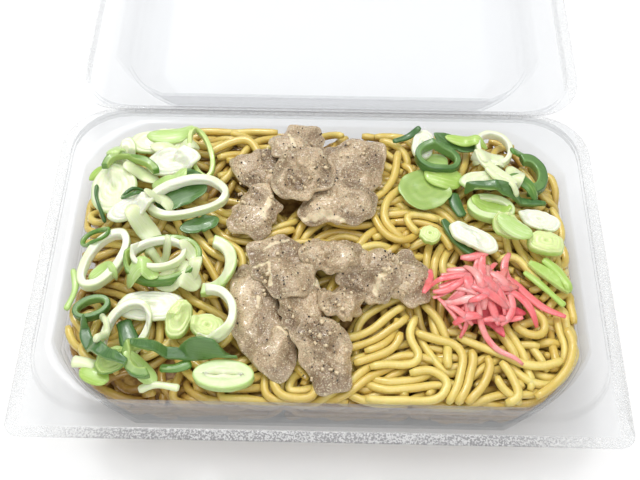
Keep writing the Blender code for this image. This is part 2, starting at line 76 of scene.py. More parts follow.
class Value:
    """A shader socket whose operators add Math nodes."""

    def __init__(self, tree: "Shader", socket: bpy.types.NodeSocket) -> None:
        """Keeps the node tree and the socket."""
        self.tree = tree
        self.socket = socket

    def math(self, operation: str, *others: "Value | float") -> "Value":
        """Adds a Math node.

        Args:
            operation: The Math node's operation.
            others: The operands after this one.

        Returns:
            The node's result.
        """
        inputs = {place: item for place, item in enumerate((self, *others))}
        return self.tree.node("ShaderNodeMath", {"operation": operation}, inputs)

    def __add__(self, other: "Value | float") -> "Value":
        """This plus other."""
        return self.math("ADD", other)

    __radd__ = __add__

    def __sub__(self, other: "Value | float") -> "Value":
        """This minus other."""
        return self.math("SUBTRACT", other)

    def __rsub__(self, other: float) -> "Value":
        """Other minus this."""
        return (self * -1.0) + other

    def __mul__(self, other: "Value | float") -> "Value":
        """This times other."""
        return self.math("MULTIPLY", other)

    __rmul__ = __mul__

    def __truediv__(self, other: float) -> "Value":
        """This divided by a number."""
        return self.math("DIVIDE", other)

    def __pow__(self, other: float) -> "Value":
        """This to a power."""
        return self.math("POWER", other)

    def above(self, low: float, high: float) -> "Value":
        """A smooth step.

        Args:
            low: Where the step is 0.
            high: Where the step is 1.

        Returns:
            A value from 0 to 1.
        """
        inputs = {"Value": self, "From Min": low, "From Max": high}
        return self.tree.node("ShaderNodeMapRange", {"interpolation_type": "SMOOTHSTEP"}, inputs)


class Shader:
    """A material being wired, with one method for any node."""

    def __init__(self, name: str) -> None:
        """Makes the material and empties its tree.

        Args:
            name: The material's name.
        """
        self.material = bpy.data.materials.new(name)
        self.material.use_nodes = True
        self.nodes = self.material.node_tree.nodes
        self.links = self.material.node_tree.links
        self.nodes.clear()

    def node(self, kind: str, settings: dict, inputs: dict, output: str | int = 0) -> Value:
        """Adds a node.

        Args:
            kind: The node's type.
            settings: Properties set first; "stops" fills a colour ramp.
            inputs: Values or links by socket name or place.
            output: The output socket to wrap.

        Returns:
            The chosen output.
        """
        made = self.nodes.new(kind)
        for name, value in settings.items():
            if name == "stops":
                self._fill_ramp(made.color_ramp, value)
            else:
                setattr(made, name, value)
        for name, value in inputs.items():
            socket = self._socket(made, name)
            if isinstance(value, Value):
                self.links.new(value.socket, socket)
            elif isinstance(value, tuple) and len(value) == 3 and socket.type == "RGBA":
                socket.default_value = (*value, 1.0)
            else:
                socket.default_value = value
        return Value(self, made.outputs[output])

    @staticmethod
    def _socket(made: bpy.types.Node, name: str | int) -> bpy.types.NodeSocket:
        """The enabled input socket of that name or place."""
        if isinstance(name, int):
            return [socket for socket in made.inputs if socket.enabled][name]
        return next(socket for socket in made.inputs if socket.name == name and socket.enabled)

    @staticmethod
    def _fill_ramp(ramp: bpy.types.ColorRamp, stops: Sequence[tuple[float, Colour]]) -> None:
        """Sets a ramp's stops from (place, colour) pairs."""
        while len(ramp.elements) < len(stops):
            ramp.elements.new(0.5)
        for element, (place, colour) in zip(ramp.elements, stops):
            element.position = place
            element.color = (*colour, 1.0)

    @cached_property
    def place(self) -> Value:
        """Object coordinates in millimetres."""
        point = self.node("ShaderNodeTexCoord", {}, {}, "Object")
        return self.scaled(point, (1 / MM, 1 / MM, 1 / MM))

    def scaled(self, vector: Value, by: Colour) -> Value:
        """A vector times a vector."""
        return self.node("ShaderNodeVectorMath", {"operation": "MULTIPLY"}, {0: vector, 1: by})

    def attribute(self, name: str) -> Value:
        """A number kept on the mesh."""
        return self.node("ShaderNodeAttribute", {"attribute_name": name}, {}, "Fac")

    def attribute_vector(self, name: str) -> Value:
        """A vector kept on the mesh."""
        return self.node("ShaderNodeAttribute", {"attribute_name": name}, {}, "Vector")

    def noise(self, size: float, detail: float = 3.0, rough: float = 0.5,
              vector: Value | None = None) -> Value:
        """Cloudy noise.

        Args:
            size: Width of its spots in millimetres.
            detail: Finer layers added.
            rough: Strength of the finer layers.
            vector: Where it is read, or None for Object coordinates.

        Returns:
            A value around 0.5.
        """
        inputs = {"Vector": vector or self.place, "Scale": 1 / size, "Detail": detail, "Roughness": rough}
        return self.node("ShaderNodeTexNoise", {}, inputs)

    def mix(self, factor: Value | float, low: Value | Colour, high: Value | Colour) -> Value:
        """A colour between two colours."""
        inputs = {0: factor, "A": low, "B": high}
        return self.node("ShaderNodeMix", {"data_type": "RGBA"}, inputs, 2)

    def bump(self, height: Value, depth: float) -> Value:
        """A bump of that depth in millimetres."""
        inputs = {"Height": height, "Distance": depth * MM, "Strength": 1.0}
        return self.node("ShaderNodeBump", {}, inputs)

    def surface(self, inputs: dict) -> Value:
        """A Principled shader."""
        return self.node("ShaderNodeBsdfPrincipled", {}, inputs)

    def finish(self, shader: Value) -> bpy.types.Material:
        """Wires the output and gives the material.

        Args:
            shader: The finished shader.

        Returns:
            The material.
        """
        output = self.nodes.new("ShaderNodeOutputMaterial")
        self.links.new(shader.socket, output.inputs["Surface"])
        return self.material

    def moist(self, colour: Value, rough: Value, normal: Value, film: "Film") -> bpy.types.Material:
        """The material of a moist, slightly translucent food.

        Args:
            colour: Its colour.
            rough: Its roughness.
            normal: Its bumps.
            film: How moist and how translucent it is.

        Returns:
            The material.
        """
        return self.finish(self.surface({
            "Base Color": colour, "Roughness": rough, "Normal": normal, "Specular IOR Level": film.gloss,
            "Subsurface Weight": film.soft, "Subsurface Radius": film.tint,
            "Subsurface Scale": film.depth * MM, "Coat Weight": film.coat, "Coat Roughness": film.slick,
        }))


# ---------------------------------------------------------------- finishes


@dataclass(frozen=True)
class Film:
    """How moist and how translucent a food is.

    Attributes:
        gloss: Strength of its own highlights.
        soft: Share of the light that goes into it.
        tint: How far red, green and blue light go, against each other.
        depth: How far they go, in millimetres.
        coat: Strength of the liquid on it.
        slick: Roughness of the liquid.
    """

    gloss: float
    soft: float
    tint: Colour
    depth: float
    coat: float
    slick: float = 0.1


@dataclass(frozen=True)
class ClearPlastic:
    """Thin clear sheet: gloss that rises at a glancing view, haze, a stippled flange, and a painted shadow
    that greys its front strip.

    Attributes:
        name: The material's name.
        half_width: Half the width of the smooth part between the side flanges.
        front: The Y of its front end, past which the flange is stippled.
        back: The Y of its back end.
        crushed: How strongly the front strip is greyed and made opaque by the painted shadow of the tub seen
            through it.
        haze: How opaque the flat sheet is.
        edge: How much more opaque it is at a glancing view.
        sheet: The colour of the opaque share.
    """

    # Painted shadow: the grey that the front strip takes, standing for the tub's shadow seen through the
    # flange.
    PRESSED = (0.27, 0.265, 0.27)
    STIPPLED = (0.86, 0.86, 0.85)
    CLEAR = (0.975, 0.98, 0.985)
    SOFT_STEP = 0.3

    name: str
    half_width: float
    front: float
    back: float
    crushed: float = 0.0
    haze: float = 0.085
    edge: float = 0.34
    sheet: Colour = (0.58, 0.58, 0.58)

    def material(self) -> bpy.types.Material:
        """The node material."""
        shader = Shader(self.name)
        split = shader.node("ShaderNodeSeparateXYZ", {}, {0: shader.place})
        across = Value(shader, split.socket.node.outputs["X"]).math("ABSOLUTE")
        along = Value(shader, split.socket.node.outputs["Y"])
        middle = (self.front + self.back) / 2
        reach = (self.back - self.front) / 2
        side = across.above(self.half_width - self.SOFT_STEP, self.half_width + self.SOFT_STEP)
        end = (along - middle).math("ABSOLUTE").above(reach - self.SOFT_STEP, reach + self.SOFT_STEP)
        flange = side.math("MAXIMUM", end)
        stipple = shader.noise(0.6, 2.0, 0.6)
        ripple = shader.noise(14.0, 2.0, 0.5)
        height = stipple * flange * 0.55 + ripple * 0.5
        normal = shader.bump(height, 0.35)
        facing = shader.node("ShaderNodeLayerWeight", {}, {"Blend": 0.45, "Normal": normal}, "Facing")
        grain = stipple.above(0.42, 0.58)
        near_front = (along * -1.0).above(-self.front - 0.5, -self.front + 0.5)
        # Painted shadow mask: the front strip, fading out towards the sides.
        shade = near_front * (1.0 - across.above(self.half_width * 0.55, self.half_width * 0.98))
        veil = flange * (grain * 0.14 + 0.08) + shade * self.crushed + self.haze
        factor = (facing ** 2.0) * self.edge + veil
        clear = shader.node("ShaderNodeBsdfTransparent", {}, {"Color": self.CLEAR})
        grey = shader.mix(grain * flange, self.sheet, self.STIPPLED)
        # Painted shadow: the front strip's sheet colour is darkened towards the shadow grey.
        pressed = shader.mix(shade * (1.0 - grain * 0.55), grey, self.PRESSED)
        sheet = shader.surface({
            "Base Color": pressed, "Roughness": 0.14, "Specular IOR Level": 0.8, "Normal": normal,
        })
        mixed = shader.node("ShaderNodeMixShader", {}, {0: factor.math("MINIMUM", 0.9), 1: clear, 2: sheet})
        return shader.finish(mixed)


@dataclass(frozen=True)
class NoodleFinish:
    """Cooked wheat noodle: oily pale yellow, browner lower down in the heap, partly sauce and partly painted
    shade.
    """

    name: str = "noodle"
    pale: Colour = (0.83, 0.69, 0.21)
    deep: Colour = (0.64, 0.44, 0.08)
    sauce: Colour = (0.36, 0.17, 0.03)
    film: Film = Film(0.55, 0.25, (1.0, 0.6, 0.2), 1.2, 0.4)

    def material(self) -> bpy.types.Material:
        """The node material."""
        shader = Shader(self.name)
        tone = shader.attribute("tone")
        depth = shader.attribute("depth")
        cloud = shader.noise(9.0, 3.0)
        stain = shader.noise(3.0, 3.0, 0.6).above(0.5, 0.78)
        body = shader.mix(tone * 0.55 + (cloud - 0.35) * 0.9, self.pale, self.deep)
        # Deeper in the heap is darker: real sauce stains plus painted shade between the noodles.
        stained = shader.mix(stain * 0.3 + depth * 0.2, body, self.deep)
        colour = shader.mix((depth ** 1.3) * 0.8, stained, self.sauce)
        height = shader.noise(1.1, 3.0, 0.55) + shader.noise(0.35, 1.0) * 0.3
        normal = shader.bump(height, 0.10)
        rough = shader.noise(2.4, 2.0) * 0.25 + 0.13
        return shader.moist(colour, rough, normal, self.film)


@dataclass(frozen=True)
class CoreFinish:
    """The inside of a heap, seen only through gaps, coloured darker than its pieces as painted shade."""

    name: str
    light: Colour
    dark: Colour

    def material(self) -> bpy.types.Material:
        """The node material."""
        shader = Shader(self.name)
        lumps = shader.noise(3.0, 3.0)
        colour = shader.mix(lumps.above(0.35, 0.65), self.dark, self.light)
        normal = shader.bump(lumps, 0.8)
        return shader.finish(shader.surface({"Base Color": colour, "Roughness": 0.5, "Normal": normal}))


@dataclass(frozen=True)
class PorkFinish:
    """Simmered thin-sliced pork: grey-pink, wet, speckled, with cream fat; painted shade darkens its low
    folds and painted glints dot it.
    """

    name: str = "pork"
    pale: Colour = (0.74, 0.57, 0.36)
    lean: Colour = (0.48, 0.34, 0.20)
    brown: Colour = (0.20, 0.12, 0.06)
    fat: Colour = (0.90, 0.76, 0.50)
    glint: Colour = (0.92, 0.83, 0.58)
    film: Film = Film(0.6, 0.2, (1.0, 0.5, 0.35), 1.5, 0.6, 0.12)

    def material(self) -> bpy.types.Material:
        """The node material."""
        shader = Shader(self.name)
        rim = shader.attribute("rim")
        fatty = shader.attribute("fat")
        broad = shader.noise(8.0, 3.0, 0.55)
        fine = shader.noise(1.3, 4.0, 0.65)
        grain = shader.noise(0.55, 3.0, 0.7)
        body = shader.mix(broad.above(0.3, 0.7), self.lean, self.pale)
        # Painted shade: the low parts of the relief are darkened, the same colour also serving as the meat's
        # real brown mottling.
        hollow = shader.mix((1.0 - shader.attribute("fold")) * 0.8, body, self.brown)
        mottled = shader.mix(fine.above(0.54, 0.74) * 0.5, hollow, self.brown)
        dotted = shader.mix((1.0 - grain).above(0.54, 0.66) * 0.75, mottled, self.brown)
        # Painted highlights: fine specks mixed towards the glint colour stand for wet glints.
        specked = shader.mix(grain.above(0.55, 0.64) * 0.85, dotted, self.glint)
        edged = shader.mix(rim.above(0.9, 1.0) * 0.3, specked, self.fat)
        colour = shader.mix(fatty.above(0.35, 0.75), edged, self.fat)
        height = broad * 0.3 + fine * 0.6 + grain * 0.5
        normal = shader.bump(height, 0.9)
        rough = shader.noise(0.8, 2.0) * 0.5 + 0.08
        return shader.moist(colour, rough, normal, self.film)


@dataclass(frozen=True)
class ScallionFinish:
    """Cut scallion: skin on the outer wall, paler flesh with fine streaks, wet and translucent."""

    name: str
    flesh: Colour
    skin: Colour
    vein: Colour
    dullness: float = 0.2
    film: Film = Film(0.6, 0.35, (0.7, 1.0, 0.4), 1.6, 0.3)

    def material(self) -> bpy.types.Material:
        """The node material."""
        shader = Shader(self.name)
        outer = shader.attribute("skin")
        tone = shader.attribute("tone")
        along = shader.attribute_vector("grain")
        streak_place = shader.scaled(along, (0.12, 1.6, 0.6))
        streak = shader.noise(1.0, 3.0, 0.6, streak_place)
        cloud = shader.noise(5.0, 2.0)
        flesh = shader.mix((cloud - 0.3) * 0.5 + tone * 0.3, self.flesh, self.vein)
        fibred = shader.mix(streak.above(0.5, 0.75) * 0.5, flesh, self.vein)
        skin = shader.mix(streak.above(0.45, 0.7) * 0.4, self.skin, self.flesh)
        colour = shader.mix(outer, fibred, skin)
        height = streak * 0.6 + shader.noise(0.7, 2.0) * 0.3
        normal = shader.bump(height, 0.16)
        rough = shader.noise(2.0, 2.0) * 0.25 + self.dullness
        return shader.moist(colour, rough, normal, self.film)


class Scallion(Enum):
    """The tones of a cut scallion, from root to leaf."""

    WHITE = ScallionFinish("scallion_white", (0.93, 0.94, 0.82), (0.76, 0.84, 0.50), (0.74, 0.80, 0.54))
    PALE = ScallionFinish("scallion_pale", (0.88, 0.91, 0.68), (0.50, 0.70, 0.22), (0.70, 0.80, 0.42))
    LIME = ScallionFinish("scallion_lime", (0.80, 0.88, 0.44), (0.42, 0.62, 0.12), (0.52, 0.70, 0.18))
    GREEN = ScallionFinish("scallion_green", (0.50, 0.64, 0.20), (0.10, 0.25, 0.03), (0.25, 0.42, 0.07))
    DARK = ScallionFinish("scallion_dark", (0.22, 0.38, 0.11), (0.05, 0.15, 0.03), (0.12, 0.27, 0.06))


@dataclass(frozen=True)
class GingerFinish:
    """Red pickled ginger: translucent pink, paler at thin edges."""

    name: str = "pickled_ginger"
    pale: Colour = (0.95, 0.40, 0.37)
    pink: Colour = (0.92, 0.19, 0.20)
    red: Colour = (0.88, 0.10, 0.12)
    film: Film = Film(0.6, 0.4, (1.0, 0.25, 0.25), 1.6, 0.4)

    def material(self) -> bpy.types.Material:
        """The node material."""
        shader = Shader(self.name)
        tone = shader.attribute("tone")
        along = shader.attribute_vector("grain")
        streak = shader.noise(1.0, 3.0, 0.6, shader.scaled(along, (0.15, 2.2, 1.0)))
        cloud = shader.noise(4.0, 2.0)
        body = shader.mix(tone, self.pink, self.pale)
        deep = shader.mix(cloud.above(0.45, 0.7) * 0.6, body, self.red)
        colour = shader.mix(streak.above(0.5, 0.75) * 0.5, deep, self.pale)
        normal = shader.bump(streak * 0.7 + shader.noise(0.6, 2.0) * 0.3, 0.15)
        rough = shader.noise(1.5, 2.0) * 0.2 + 0.15
        return shader.moist(colour, rough, normal, self.film)


@dataclass(frozen=True)
class SpeckFinish:
    """Small dry or wet bits: ground pepper, fat and garlic."""

    name: str
    light: Colour
    dark: Colour
    rough: float

    def material(self) -> bpy.types.Material:
        """The node material."""
        shader = Shader(self.name)
        cloud = shader.noise(0.6, 2.0)
        colour = shader.mix(cloud.above(0.35, 0.65), self.dark, self.light)
        normal = shader.bump(cloud, 0.1)
        return shader.finish(shader.surface({
            "Base Color": colour, "Roughness": cloud * 0.1 + self.rough, "Normal": normal,
        }))


@dataclass(frozen=True)
class FloorFinish:
    """A plain pale floor."""

    name: str = "floor"
    white: Colour = (0.97, 0.97, 0.97)

    def material(self) -> bpy.types.Material:
        """The node material."""
        shader = Shader(self.name)
        cloud = shader.noise(400.0, 1.0)
        colour = shader.mix(cloud, self.white, tuple(value * 0.995 for value in self.white))
        return shader.finish(shader.surface({"Base Color": colour, "Roughness": 0.7}))


# ---------------------------------------------------------------- mesh helpers


def only(item: bpy.types.Object) -> None:
    """Selects one object and makes it active."""
    bpy.ops.object.select_all(action="DESELECT")
    item.select_set(True)
    bpy.context.view_layer.objects.active = item


@contextmanager
def editing(item: bpy.types.Object) -> Iterable[None]:
    """Edit mode on one object, with all of it selected.

    Args:
        item: The object.

    Returns:
        Nothing; edit mode ends with the block.
    """
    only(item)
    bpy.ops.object.mode_set(mode="EDIT")
    bpy.ops.mesh.select_all(action="SELECT")
    yield
    bpy.ops.object.mode_set(mode="OBJECT")


def modify(item: bpy.types.Object, kind: str, **settings: float | int | str | bool) -> None:
    """Adds a modifier with settings and applies it.

    Args:
        item: The object.
        kind: The modifier's type.
        settings: Its properties.
    """
    only(item)
    modifier = item.modifiers.new(kind.title(), kind)
    for name, value in settings.items():
        setattr(modifier, name, value)
    bpy.ops.object.modifier_apply(modifier=modifier.name)


def new_object(name: str, points: Array, faces: Sequence[Sequence[int]]) -> bpy.types.Object:
    """A mesh object, smooth shaded.

    Args:
        name: The piece's name.
        points: Vertices in millimetres.
        faces: Vertex numbers of each face.

    Returns:
        The object, at the origin.
    """
    mesh = bpy.data.meshes.new(name)
    mesh.from_pydata((np.asarray(points, float) * MM).tolist(), [], faces)
    mesh.validate()
    mesh.shade_smooth()
    item = bpy.data.objects.new(name, mesh)
    bpy.context.scene.collection.objects.link(item)
    return item


def copy_of_node(node: str, name: str) -> bpy.types.Object:
    """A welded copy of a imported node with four-sided faces where they fit.

    Args:
        node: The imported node.
        name: The copy's name.

    Returns:
        The copy.
    """
    mesh = frame["nodes"][node].data.copy()
    mesh.materials.clear()
    item = bpy.data.objects.new(name, mesh)
    bpy.context.scene.collection.objects.link(item)
    with editing(item):
        bpy.ops.mesh.remove_doubles(threshold=0.01 * MM)
        bpy.ops.mesh.tris_convert_to_quads(face_threshold=math.radians(50), shape_threshold=math.radians(60))
    return item


def keep(item: bpy.types.Object, name: str, values: Array) -> None:
    """Keeps a number or a vector for each vertex.

    Args:
        item: The object.
        name: The attribute's name.
        values: A number or a vector for each vertex.
    """
    values = np.asarray(values, float)
    kind, slot = ("FLOAT", "value") if values.ndim == 1 else ("FLOAT_VECTOR", "vector")
    layer = item.data.attributes.new(name, kind, "POINT")
    layer.data.foreach_set(slot, values.ravel())


def points_of(item: bpy.types.Object) -> Array:
    """An object's vertices in millimetres."""
    points = np.empty(len(item.data.vertices) * 3)
    item.data.vertices.foreach_get("co", points)
    return points.reshape(-1, 3) / MM


def move_points(item: bpy.types.Object, points: Array) -> None:
    """Puts an object's vertices at places in millimetres."""
    item.data.vertices.foreach_set("co", (points * MM).ravel())
    item.data.update()


def normals_of(item: bpy.types.Object) -> Array:
    """An object's vertex normals."""
    normals = np.empty(len(item.data.vertices) * 3)
    item.data.vertex_normals.foreach_get("vector", normals)
    return normals.reshape(-1, 3)


def box_mm(node: str) -> tuple[Array, Array]:
    """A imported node's lowest and highest corners in millimetres."""
    low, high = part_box(node)
    return np.array(low) / MM, np.array(high) / MM


def eased_below(values: Array, limit: float, softness: float = 0.35) -> Array:
    """The values bent smoothly so that none passes the limit."""
    return limit - softness * np.log1p(np.exp((limit - values) / softness))


def soft_noise(x: float, y: float, z: float = 0.0) -> float:
    """Smooth noise from -1 to 1."""
    return noise.noise(Vector((x, y, z)))


def smoothed(values: Array, rounds: int) -> Array:
    """A row of numbers evened out, with its ends held.

    Args:
        values: The numbers.
        rounds: How often they are evened.

    Returns:
        The evened numbers.
    """
    values = values.copy()
    for _ in range(rounds):
        values[1:-1] = (values[:-2] + 2 * values[1:-1] + values[2:]) / 4
    return values


def drift(rng: np.random.Generator, count: int, knots: int) -> Array:
    """A slowly changing random number for each of a line's points."""
    return np.interp(np.arange(count), np.linspace(0, count, knots), rng.normal(size=knots))


def place_piece(item: bpy.types.Object, material: bpy.types.Material, slot: str, *nodes: str) -> None:
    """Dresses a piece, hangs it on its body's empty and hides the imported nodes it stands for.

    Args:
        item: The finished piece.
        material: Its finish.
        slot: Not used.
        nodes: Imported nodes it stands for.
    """
    item.data.materials.clear()
    item.data.materials.append(material)
    body = LID_BODY if nodes == ("lid",) else TRAY_BODY
    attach(item, body)
    if nodes:
        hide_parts(*nodes)
    faces = sum(len(face.vertices) - 2 for face in item.data.polygons)
    LOG.info("%s: %d triangles", item.name, faces)


def add_core(node: str, scale: tuple[float, float, float], lift: float, levels: int,
             finish: CoreFinish, slot: str) -> None:
    """A smaller smooth copy of a packed heap, which closes the gaps inside its real pieces.

    Args:
        node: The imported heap.
        scale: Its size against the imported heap, from the middle of its base.
        lift: How far it is raised, in millimetres.
        levels: Steps of smoothing.
        finish: Its finish, which also gives its name.
        slot: The record's slot.
    """
    core = copy_of_node(node, finish.name)
    low, high = box_mm(node)
    base = ((low[0] + high[0]) / 2 * MM, (low[1] + high[1]) / 2 * MM, low[2] * MM)
    with editing(core):
        bpy.ops.transform.resize(value=scale, center_override=base)
        bpy.ops.transform.translate(value=(0, 0, lift * MM))
    modify(core, "SUBSURF", levels=levels, render_levels=levels)
    only(core)
    bpy.ops.object.shade_smooth()
    place_piece(core, finish.material(), slot)


class Relief:
    """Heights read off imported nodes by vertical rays, in millimetres."""

    FAR = 0.2
    NEAR = 0.027

    def __init__(self, nodes: Iterable[str]) -> None:
        """Joins the nodes' triangles in one search tree.

        Args:
            nodes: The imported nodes.
        """
        points: list[Vector] = []
        faces: list[list[int]] = []
        for node in nodes:
            mesh = frame["nodes"][node].data
            start = len(points)
            points.extend(vertex.co.copy() for vertex in mesh.vertices)
            faces.extend([start + corner for corner in face.vertices] for face in mesh.polygons)
        self.tree = BVHTree.FromPolygons(points, faces)

    def top(self, x: float, y: float) -> float:
        """The highest face at a place, or the nearest one's height."""
        return self._height(x, y, self.FAR, -1.0)

    def bottom(self, x: float, y: float) -> float:
        """The lowest face at a place, or the nearest one's height."""
        return self._height(x, y, -self.FAR, 1.0)

    def _height(self, x: float, y: float, start: float, way: float) -> float:
        """Casts one ray up or down.

        Args:
            x, y: The plan place in millimetres.
            start: The height it starts at, in metres.
            way: 1 up, -1 down.

        Returns:
            The height it hits, or that of the nearest face, in millimetres.
        """
        origin = Vector((x * MM, y * MM, start))
        hit = self.tree.ray_cast(origin, Vector((0, 0, way)))[0]
        if hit is None:
            hit = self.tree.find_nearest(Vector((x * MM, y * MM, self.NEAR)))[0]
        return hit.z / MM

    def side(self, start: Array, way: Array) -> float:
        """How far a level ray runs to a face."""
        return self.tree.ray_cast(Vector(start * MM), Vector(way))[3] / MM


FOOD = [name for name in sorted(frame["nodes"]) if name not in ("tray", "lid")]
TRAY_MIDDLE = sum(box_mm("tray")) / 2
SLOT_OF = {part["node"]: part["material_slot"] for part in frame["record"]["subparts"]}


def in_row(x: float, y: float) -> tuple[float, float]:
    """A plan place measured from the tray's middle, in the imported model's frame."""
    return x, y + TRAY_MIDDLE[1]


# ---------------------------------------------------------------- strands


@dataclass
class Strand:
    """A round or flattened length with its centre line.

    Attributes:
        points: Centre line in millimetres.
        radius: Half its width at each point.
        flat: Its thickness over its width.
        tone: Its own shade from 0 to 1.
    """

    points: Array
    radius: Array
    flat: float = 1.0
    tone: float = 0.5

    def frames(self) -> tuple[Array, Array]:
        """Directions round the line that turn as little as they can along it.

        Returns:
            The sideways and the upward direction at each point.
        """
        ahead = np.gradient(self.points, axis=0)
        ahead /= np.linalg.norm(ahead, axis=1, keepdims=True) + 1e-9
        side = np.cross(ahead[0], (0, 0, 1.0))
        if np.linalg.norm(side) < 0.1:
            side = np.array((1.0, 0, 0))
        sides = np.empty_like(self.points)
        for place, way in enumerate(ahead):
            side = side - way * (side @ way)
            side = side / (math.sqrt(side @ side) + 1e-9)
            sides[place] = side
        return sides, np.cross(sides, ahead)


def strand_mesh(name: str, strands: Sequence[Strand], sides: int) -> bpy.types.Object:
    """One mesh of many strands, with tone and grain kept on it.

    Args:
        name: The piece's name.
        strands: Its strands.
        sides: Faces round each strand.

    Returns:
        The object.
    """
    angles = np.arange(sides) * 2 * math.pi / sides
    ring = np.arange(sides)
    points, tones, grains, faces = [], [], [], []
    start = 0
    for strand in strands:
        side, up = strand.frames()
        count = len(strand.points)
        reach = strand.radius[:, None, None]
        across = np.cos(angles)[None, :, None] * side[:, None, :]
        raised = np.sin(angles)[None, :, None] * up[:, None, :] * strand.flat
        points.append((strand.points[:, None, :] + reach * (across + raised)).reshape(-1, 3))
        tones.append(np.full(count * sides, strand.tone))
        steps = np.linalg.norm(np.diff(strand.points, axis=0), axis=1)
        run = np.concatenate(([0.0], np.cumsum(steps)))
        grain = np.zeros((count, sides, 3))
        grain[:, :, 0] = run[:, None] + 40 * strand.tone
        grain[:, :, 1] = np.cos(angles)[None, :] * strand.radius[:, None]
        grain[:, :, 2] = np.sin(angles)[None, :] * strand.radius[:, None]
        grains.append(grain.reshape(-1, 3))
        base = start + np.arange(count - 1)[:, None] * sides
        after = (ring + 1) % sides
        quads = np.stack((base + ring, base + after, base + sides + after, base + sides + ring), axis=-1)
        faces.extend(quads.reshape(-1, 4).tolist())
        faces.append((start + ring[::-1]).tolist())
        faces.append((start + (count - 1) * sides + ring).tolist())
        start += count * sides
    item = new_object(name, np.concatenate(points), faces)
    keep(item, "tone", np.concatenate(tones))
    keep(item, "grain", np.concatenate(grains))
    return item


def through(places: Sequence[Sequence[float]], spacing: float) -> Array:
    """An even smooth curve through given places.

    Args:
        places: Points that it passes.
        spacing: Distance from point to point along it.

    Returns:
        Its points.
    """
    knots = np.asarray(places, float)
    knots = np.concatenate(([2 * knots[0] - knots[1]], knots, [2 * knots[-1] - knots[-2]]))
    share = np.linspace(0, 1, 12, endpoint=False)[:, None]
    pieces = []
    for before, start, end, after in zip(knots, knots[1:], knots[2:], knots[3:]):
        pieces.append(0.5 * (2 * start + (end - before) * share
                             + (2 * before - 5 * start + 4 * end - after) * share ** 2
                             + (3 * start - before - 3 * end + after) * share ** 3))
    pieces.append(knots[-2][None, :])
    return even(np.concatenate(pieces), spacing)


def even(line: Array, spacing: float) -> Array:
    """The same line with evenly spaced points.

    Args:
        line: Its points.
        spacing: About the distance from point to point.

    Returns:
        The new points.
    """
    run = np.concatenate(([0.0], np.cumsum(np.linalg.norm(np.diff(line, axis=0), axis=1))))
    count = max(3, int(round(run[-1] / spacing)) + 1)
    marks = np.linspace(0, run[-1], count)
    return np.stack([np.interp(marks, run, line[:, axis]) for axis in range(line.shape[1])], axis=1)


# ---------------------------------------------------------------- clear pack


@dataclass
class ClearPack:
    """The clear formed tray and lid, with raised ribs round the walls.

    Attributes:
        edge: Width of the rounded edges.
        rib: How far a rib stands out, over the wall's half width.
        rib_half: Half a rib's height.
        tray_ribs: Heights of the tray wall's ribs above the table.
        lid_ribs: Heights of the lid wall's ribs.
        side_flange: Width of the stippled flange at the sides.
        free_flange: Its width at the edge away from the hinge.
        hinge_flange: Its width along the hinge.
    """

    edge: float = 0.28
    rib: float = 0.006
    rib_half: float = 0.7
    tray_ribs: tuple[float, ...] = (20.5, 15.0)
    lid_ribs: tuple[float, ...] = (12.0,)
    side_flange: float = 4.4
    free_flange: float = 3.6
    hinge_flange: float = 2.2

    def build(self) -> None:
        """Builds the tray and the lid."""
        for node, ribs in (("tray", self.tray_ribs), ("lid", self.lid_ribs)):
            item = copy_of_node(node, f"clear_{node}")
            for height in ribs:
                self._raise_rib(item, node, height)
            modify(item, "BEVEL", width=self.edge * MM, segments=2, limit_method="ANGLE",
                   angle_limit=math.radians(28), harden_normals=False)
            only(item)
            bpy.ops.object.shade_smooth_by_angle(angle=math.radians(35))
            place_piece(item, self._finish(node), "clear_plastic", node)

    def _raise_rib(self, item: bpy.types.Object, node: str, height: float) -> None:
        """Cuts three lines round the wall and moves the middle one outwards.

        Args:
            item: The tray or the lid.
            node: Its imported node, for the wall's middle.
            height: The rib's height above the table.
        """
        low, high = box_mm(node)
        middle = (low + high) / 2 * MM
        for offset in (-self.rib_half, 0.0, self.rib_half):
            with editing(item):
                level = (middle[0], middle[1], (height + offset) * MM)
                bpy.ops.mesh.bisect(plane_co=level, plane_no=(0, 0, 1))
        points = points_of(item)
        on_rib = np.abs(points[:, 2] - height) < 0.05
        points[on_rib, :2] += (points[on_rib, :2] - middle[:2] / MM) * self.rib
        move_points(item, points)

    def _finish(self, node: str) -> bpy.types.Material:
        """Clear plastic whose flange is stippled outside the ridge.

        Args:
            node: The tray or the lid.

        Returns:
            The material.
        """
        low, high = box_mm(node)
        side = high[0] - self.side_flange
        if node == "tray":
            ends = low[1] + self.free_flange, high[1] - self.hinge_flange
            # The tray's front strip gets a painted shadow of the tub below it.
            return ClearPlastic("clear_tray", side, *ends, crushed=0.6).material()
        ends = low[1] + self.hinge_flange, high[1] - self.free_flange
        lid = ClearPlastic("clear_lid", side, *ends, haze=0.13, edge=0.2, sheet=(0.8, 0.8, 0.81))
        return lid.material()


# ---------------------------------------------------------------- noodles


